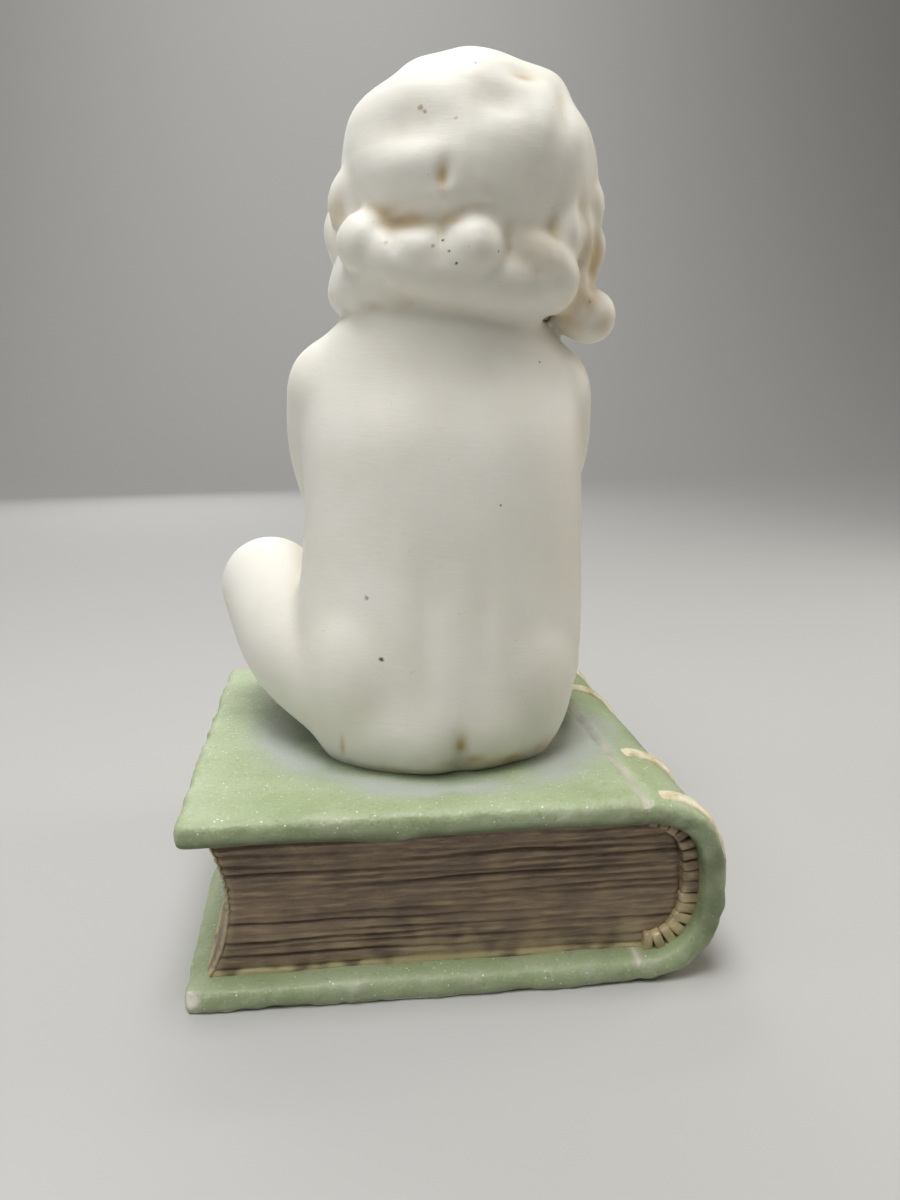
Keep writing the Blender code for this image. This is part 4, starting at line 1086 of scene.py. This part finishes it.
def painted_case(mesh):
    """Where the case is hazed, rubbed, shaded or bare."""
    points = points_of(mesh)
    normals = normals_of(mesh)
    x, y, z = points.T
    # Haze in a ring round the seat, and grime with painted contact shadow close against it
    top = (z > BOOK_THICKNESS - 2.5) & (normals[:, 2] > 0.3)
    reach = np.hypot(x / DISH_RADIUS_X, y / DISH_RADIUS_Y)
    near_side = smoothstep((y + 14.0) / 18.0)
    ring = bell(reach - 0.83, 0.12) * np.clip(0.72 + 0.4 * waves(points, 6.0, 51), 0, 1)
    corner = bell(x + 19.0, 6.0) * bell(y - 12.0, 9.0)
    set_attribute(mesh, "haze", top * np.clip(1.15 * ring * near_side + 0.7 * corner, 0, 0.95))
    wall = bell(reach - 0.64, 0.14) * (0.65 + 0.25 * smoothstep((x - 8.0) / 14.0))
    set_attribute(mesh, "grime", top * np.clip(wall * (0.85 + 0.3 * waves(points, 5.0, 58)), 0, 0.8))
    # Paint rubbed off along the pressed groove, and on the sharpest edges
    hollow = hollowness(mesh, 1.2)
    wander = 0.15 * waves(points, 7.0, 57)
    on_hinge = bell(x - HINGE_X - GROOVE_OFFSET - wander, 0.5) * (np.abs(normals[:, 2]) > 0.5)
    broken = np.clip(1.1 + 0.5 * waves(points, 4.0, 53), 0, 1)
    arris = np.clip(-hollow / 0.25, 0, 1) * np.clip(0.2 + 0.6 * waves(points, 2.5, 55), 0, 1)
    set_attribute(mesh, "rub", np.maximum(0.9 * on_hinge * broken, 0.35 * arris))
    # Painted shade beneath the boards, low on their edges, in the hollows and round the spine
    under = smoothstep((-normals[:, 2] - 0.1) / 0.8) * (z > 3.0)
    inside = np.clip(hollow / 0.3, 0, 1)
    edges = smoothstep((0.5 - normals[:, 2]) / 0.45)
    low_edge = smoothstep((BOOK_THICKNESS - 1.8 - z) / 1.5) * (z > BOOK_THICKNESS - BOARD - 1.5)
    low_edge += 0.6 * smoothstep((1.2 - z) / 1.2)
    spine_side = smoothstep((HINGE_X - 3.0 - x) / 4.5) * (1.0 - np.clip(normals[:, 2], 0, 1) ** 2)
    tone = np.maximum(edges * 0.6 * low_edge, 0.62 * spine_side)
    tone *= np.clip(0.8 + 0.4 * waves(points, 4.0, 59), 0, 1.2)
    set_attribute(mesh, "shade", np.clip(tone + 0.6 * under + 0.5 * inside, 0, 0.8))
    # Bare clay in the chip and over the underside
    chip = np.empty(len(points), dtype=np.float32)
    mesh.attributes["chip"].data.foreach_get("value", chip)
    base = (z < 0.25) & (normals[:, 2] < -0.6)
    set_attribute(mesh, "bare", np.maximum(smoothstep((chip - 0.45) / 0.3), base * 0.9))


def gilded_leaves(mesh):
    """Where gold goes on the leaves: a gold line along their foot, and painted highlight at the corners and
    in low patches.
    """
    points = points_of(mesh)
    x, y, z = points.T
    patchy = waves(points, 3.0, 61)
    foot = bell(z - BOARD - 0.45, 0.5) * np.clip(0.85 + 1.2 * patchy, 0, 1)
    # Painted highlight at the fore-edge corners and over the lower leaves
    corner_highlight = bell(x - leaf_front(z), 0.9) * bell(np.abs(y) - HALF_LENGTH + SQUARES, 0.9)
    low_highlight = smoothstep((12.0 - z) / 7.0) * np.clip(0.5 + patchy, 0, 1)
    set_attribute(mesh, "gold", np.clip(foot + 0.6 * corner_highlight + 0.25 * low_highlight, 0, 0.95))


def gilded_wedges(mesh):
    """Gold over the wedges, heaviest at the foot."""
    points = points_of(mesh)
    gold = 0.95 - 0.05 * points[:, 2] + 0.4 * waves(points, 1.5, 63)
    set_attribute(mesh, "gold", np.clip(gold, 0, 0.95))
    set_attribute(mesh, "groove", np.zeros(len(points)))


def main():
    """Every piece, with its paint."""
    child = child_mesh()
    painted_child(child)
    piece("bisque_child", child, bisque_material(snapped_marks(child)), "child_figure")
    case = case_mesh()
    painted_case(case)
    piece("painted_case", case, paint_material(), "book_base")
    bronze = bronze_material()
    leaves = page_mesh()
    gilded_leaves(leaves)
    piece("leaf_edges", leaves, bronze, "book_base")
    wedges = wedge_mesh()
    gilded_wedges(wedges)
    piece("fold_wedges", wedges, bronze, "book_base")
    piece("raised_bands", band_mesh(), gold_material(), "book_base")


def camera(place, look, lens):
    """A camera at the photograph's viewpoint, level, with a 36 mm tall frame."""
    data = bpy.data.cameras.new("camera")
    data.sensor_fit = "VERTICAL"
    data.sensor_height = 36.0
    data.lens = lens
    data.clip_start = 0.01
    made = new_object("camera", data)
    made.location = place
    made.rotation_euler = Vector(look).to_track_quat("-Z", "Y").to_euler()
    bpy.context.scene.camera = made


def area_light(name, place, target, size, watts, colour="FFFFFF"):
    """A round soft lamp that faces its target."""
    data = bpy.data.lights.new(name, "AREA")
    data.shape = "DISK"
    data.size = size
    data.energy = watts
    data.color = linear(colour)[:3]
    made = new_object(name, data)
    made.location = place
    made.rotation_euler = (Vector(target) - Vector(place)).to_track_quat("-Z", "Y").to_euler()


def studio():
    """A pale floor that sweeps up behind, soft lamps, and the camera."""
    bm = bmesh.new()
    reach, bend, wall = 3.0, 0.9, 3.0
    profile = [(reach, 0.0)]
    for step in range(13):
        angle = math.radians(90 * step / 12)
        profile.append((-bend - bend * math.sin(angle), bend * (1 - math.cos(angle))))
    profile.append((-2 * bend, wall))
    rim = [bm.verts.new((-reach, y, z)) for y, z in profile]
    edges = [bm.edges.new(ends) for ends in zip(rim, rim[1:])]
    grown = bmesh.ops.extrude_edge_only(bm, edges=edges)["geom"]
    far = [item for item in grown if isinstance(item, bmesh.types.BMVert)]
    bmesh.ops.translate(bm, vec=(2 * reach, 0.0, 0.0), verts=far)
    mesh = mesh_from(bm)
    mesh.shade_smooth()
    board, add = new_material("pale matt board")
    surface = add("BsdfPrincipled", {"Base Color": linear("BDBCB9"), "Roughness": 0.8})["BSDF"]
    add("OutputMaterial", None, {"Surface": surface})
    mesh.materials.append(board)
    floor = new_object("floor", mesh)
    world = bpy.data.worlds.new("studio")
    world.use_nodes = True
    sky = world.node_tree.nodes["Background"].inputs
    sky["Color"].default_value = linear("ECEAE2")
    sky["Strength"].default_value = 0.14
    bpy.context.scene.world = world
    bpy.context.scene.view_settings.view_transform = "Standard"
    area_light("key", (0.07, 0.20, 0.44), (0, 0, 0.09), 0.20, 0.60)
    area_light("top", (0.03, 0.06, 0.60), (0, 0, 0.05), 0.30, 2.15)
    area_light("left", (0.42, 0.06, 0.20), (0, 0, 0.05), 0.26, 0.36, "F6FAFF")
    area_light("right", (-0.42, -0.10, 0.20), (0, 0, 0.06), 0.26, 0.55, "FFF8EC")
    area_light("front", (0.15, -0.6, 0.3), (0, 0, 0.06), 0.5, 0.7)
    area_light("backdrop", (0.0, -0.9, 1.3), (0, -1.7, 0.35), 0.8, 9.0)
    camera((0.01605, 0.15324, 0.0807), (-0.1180, -0.9714, -0.2060), 28.5)


main()
studio()
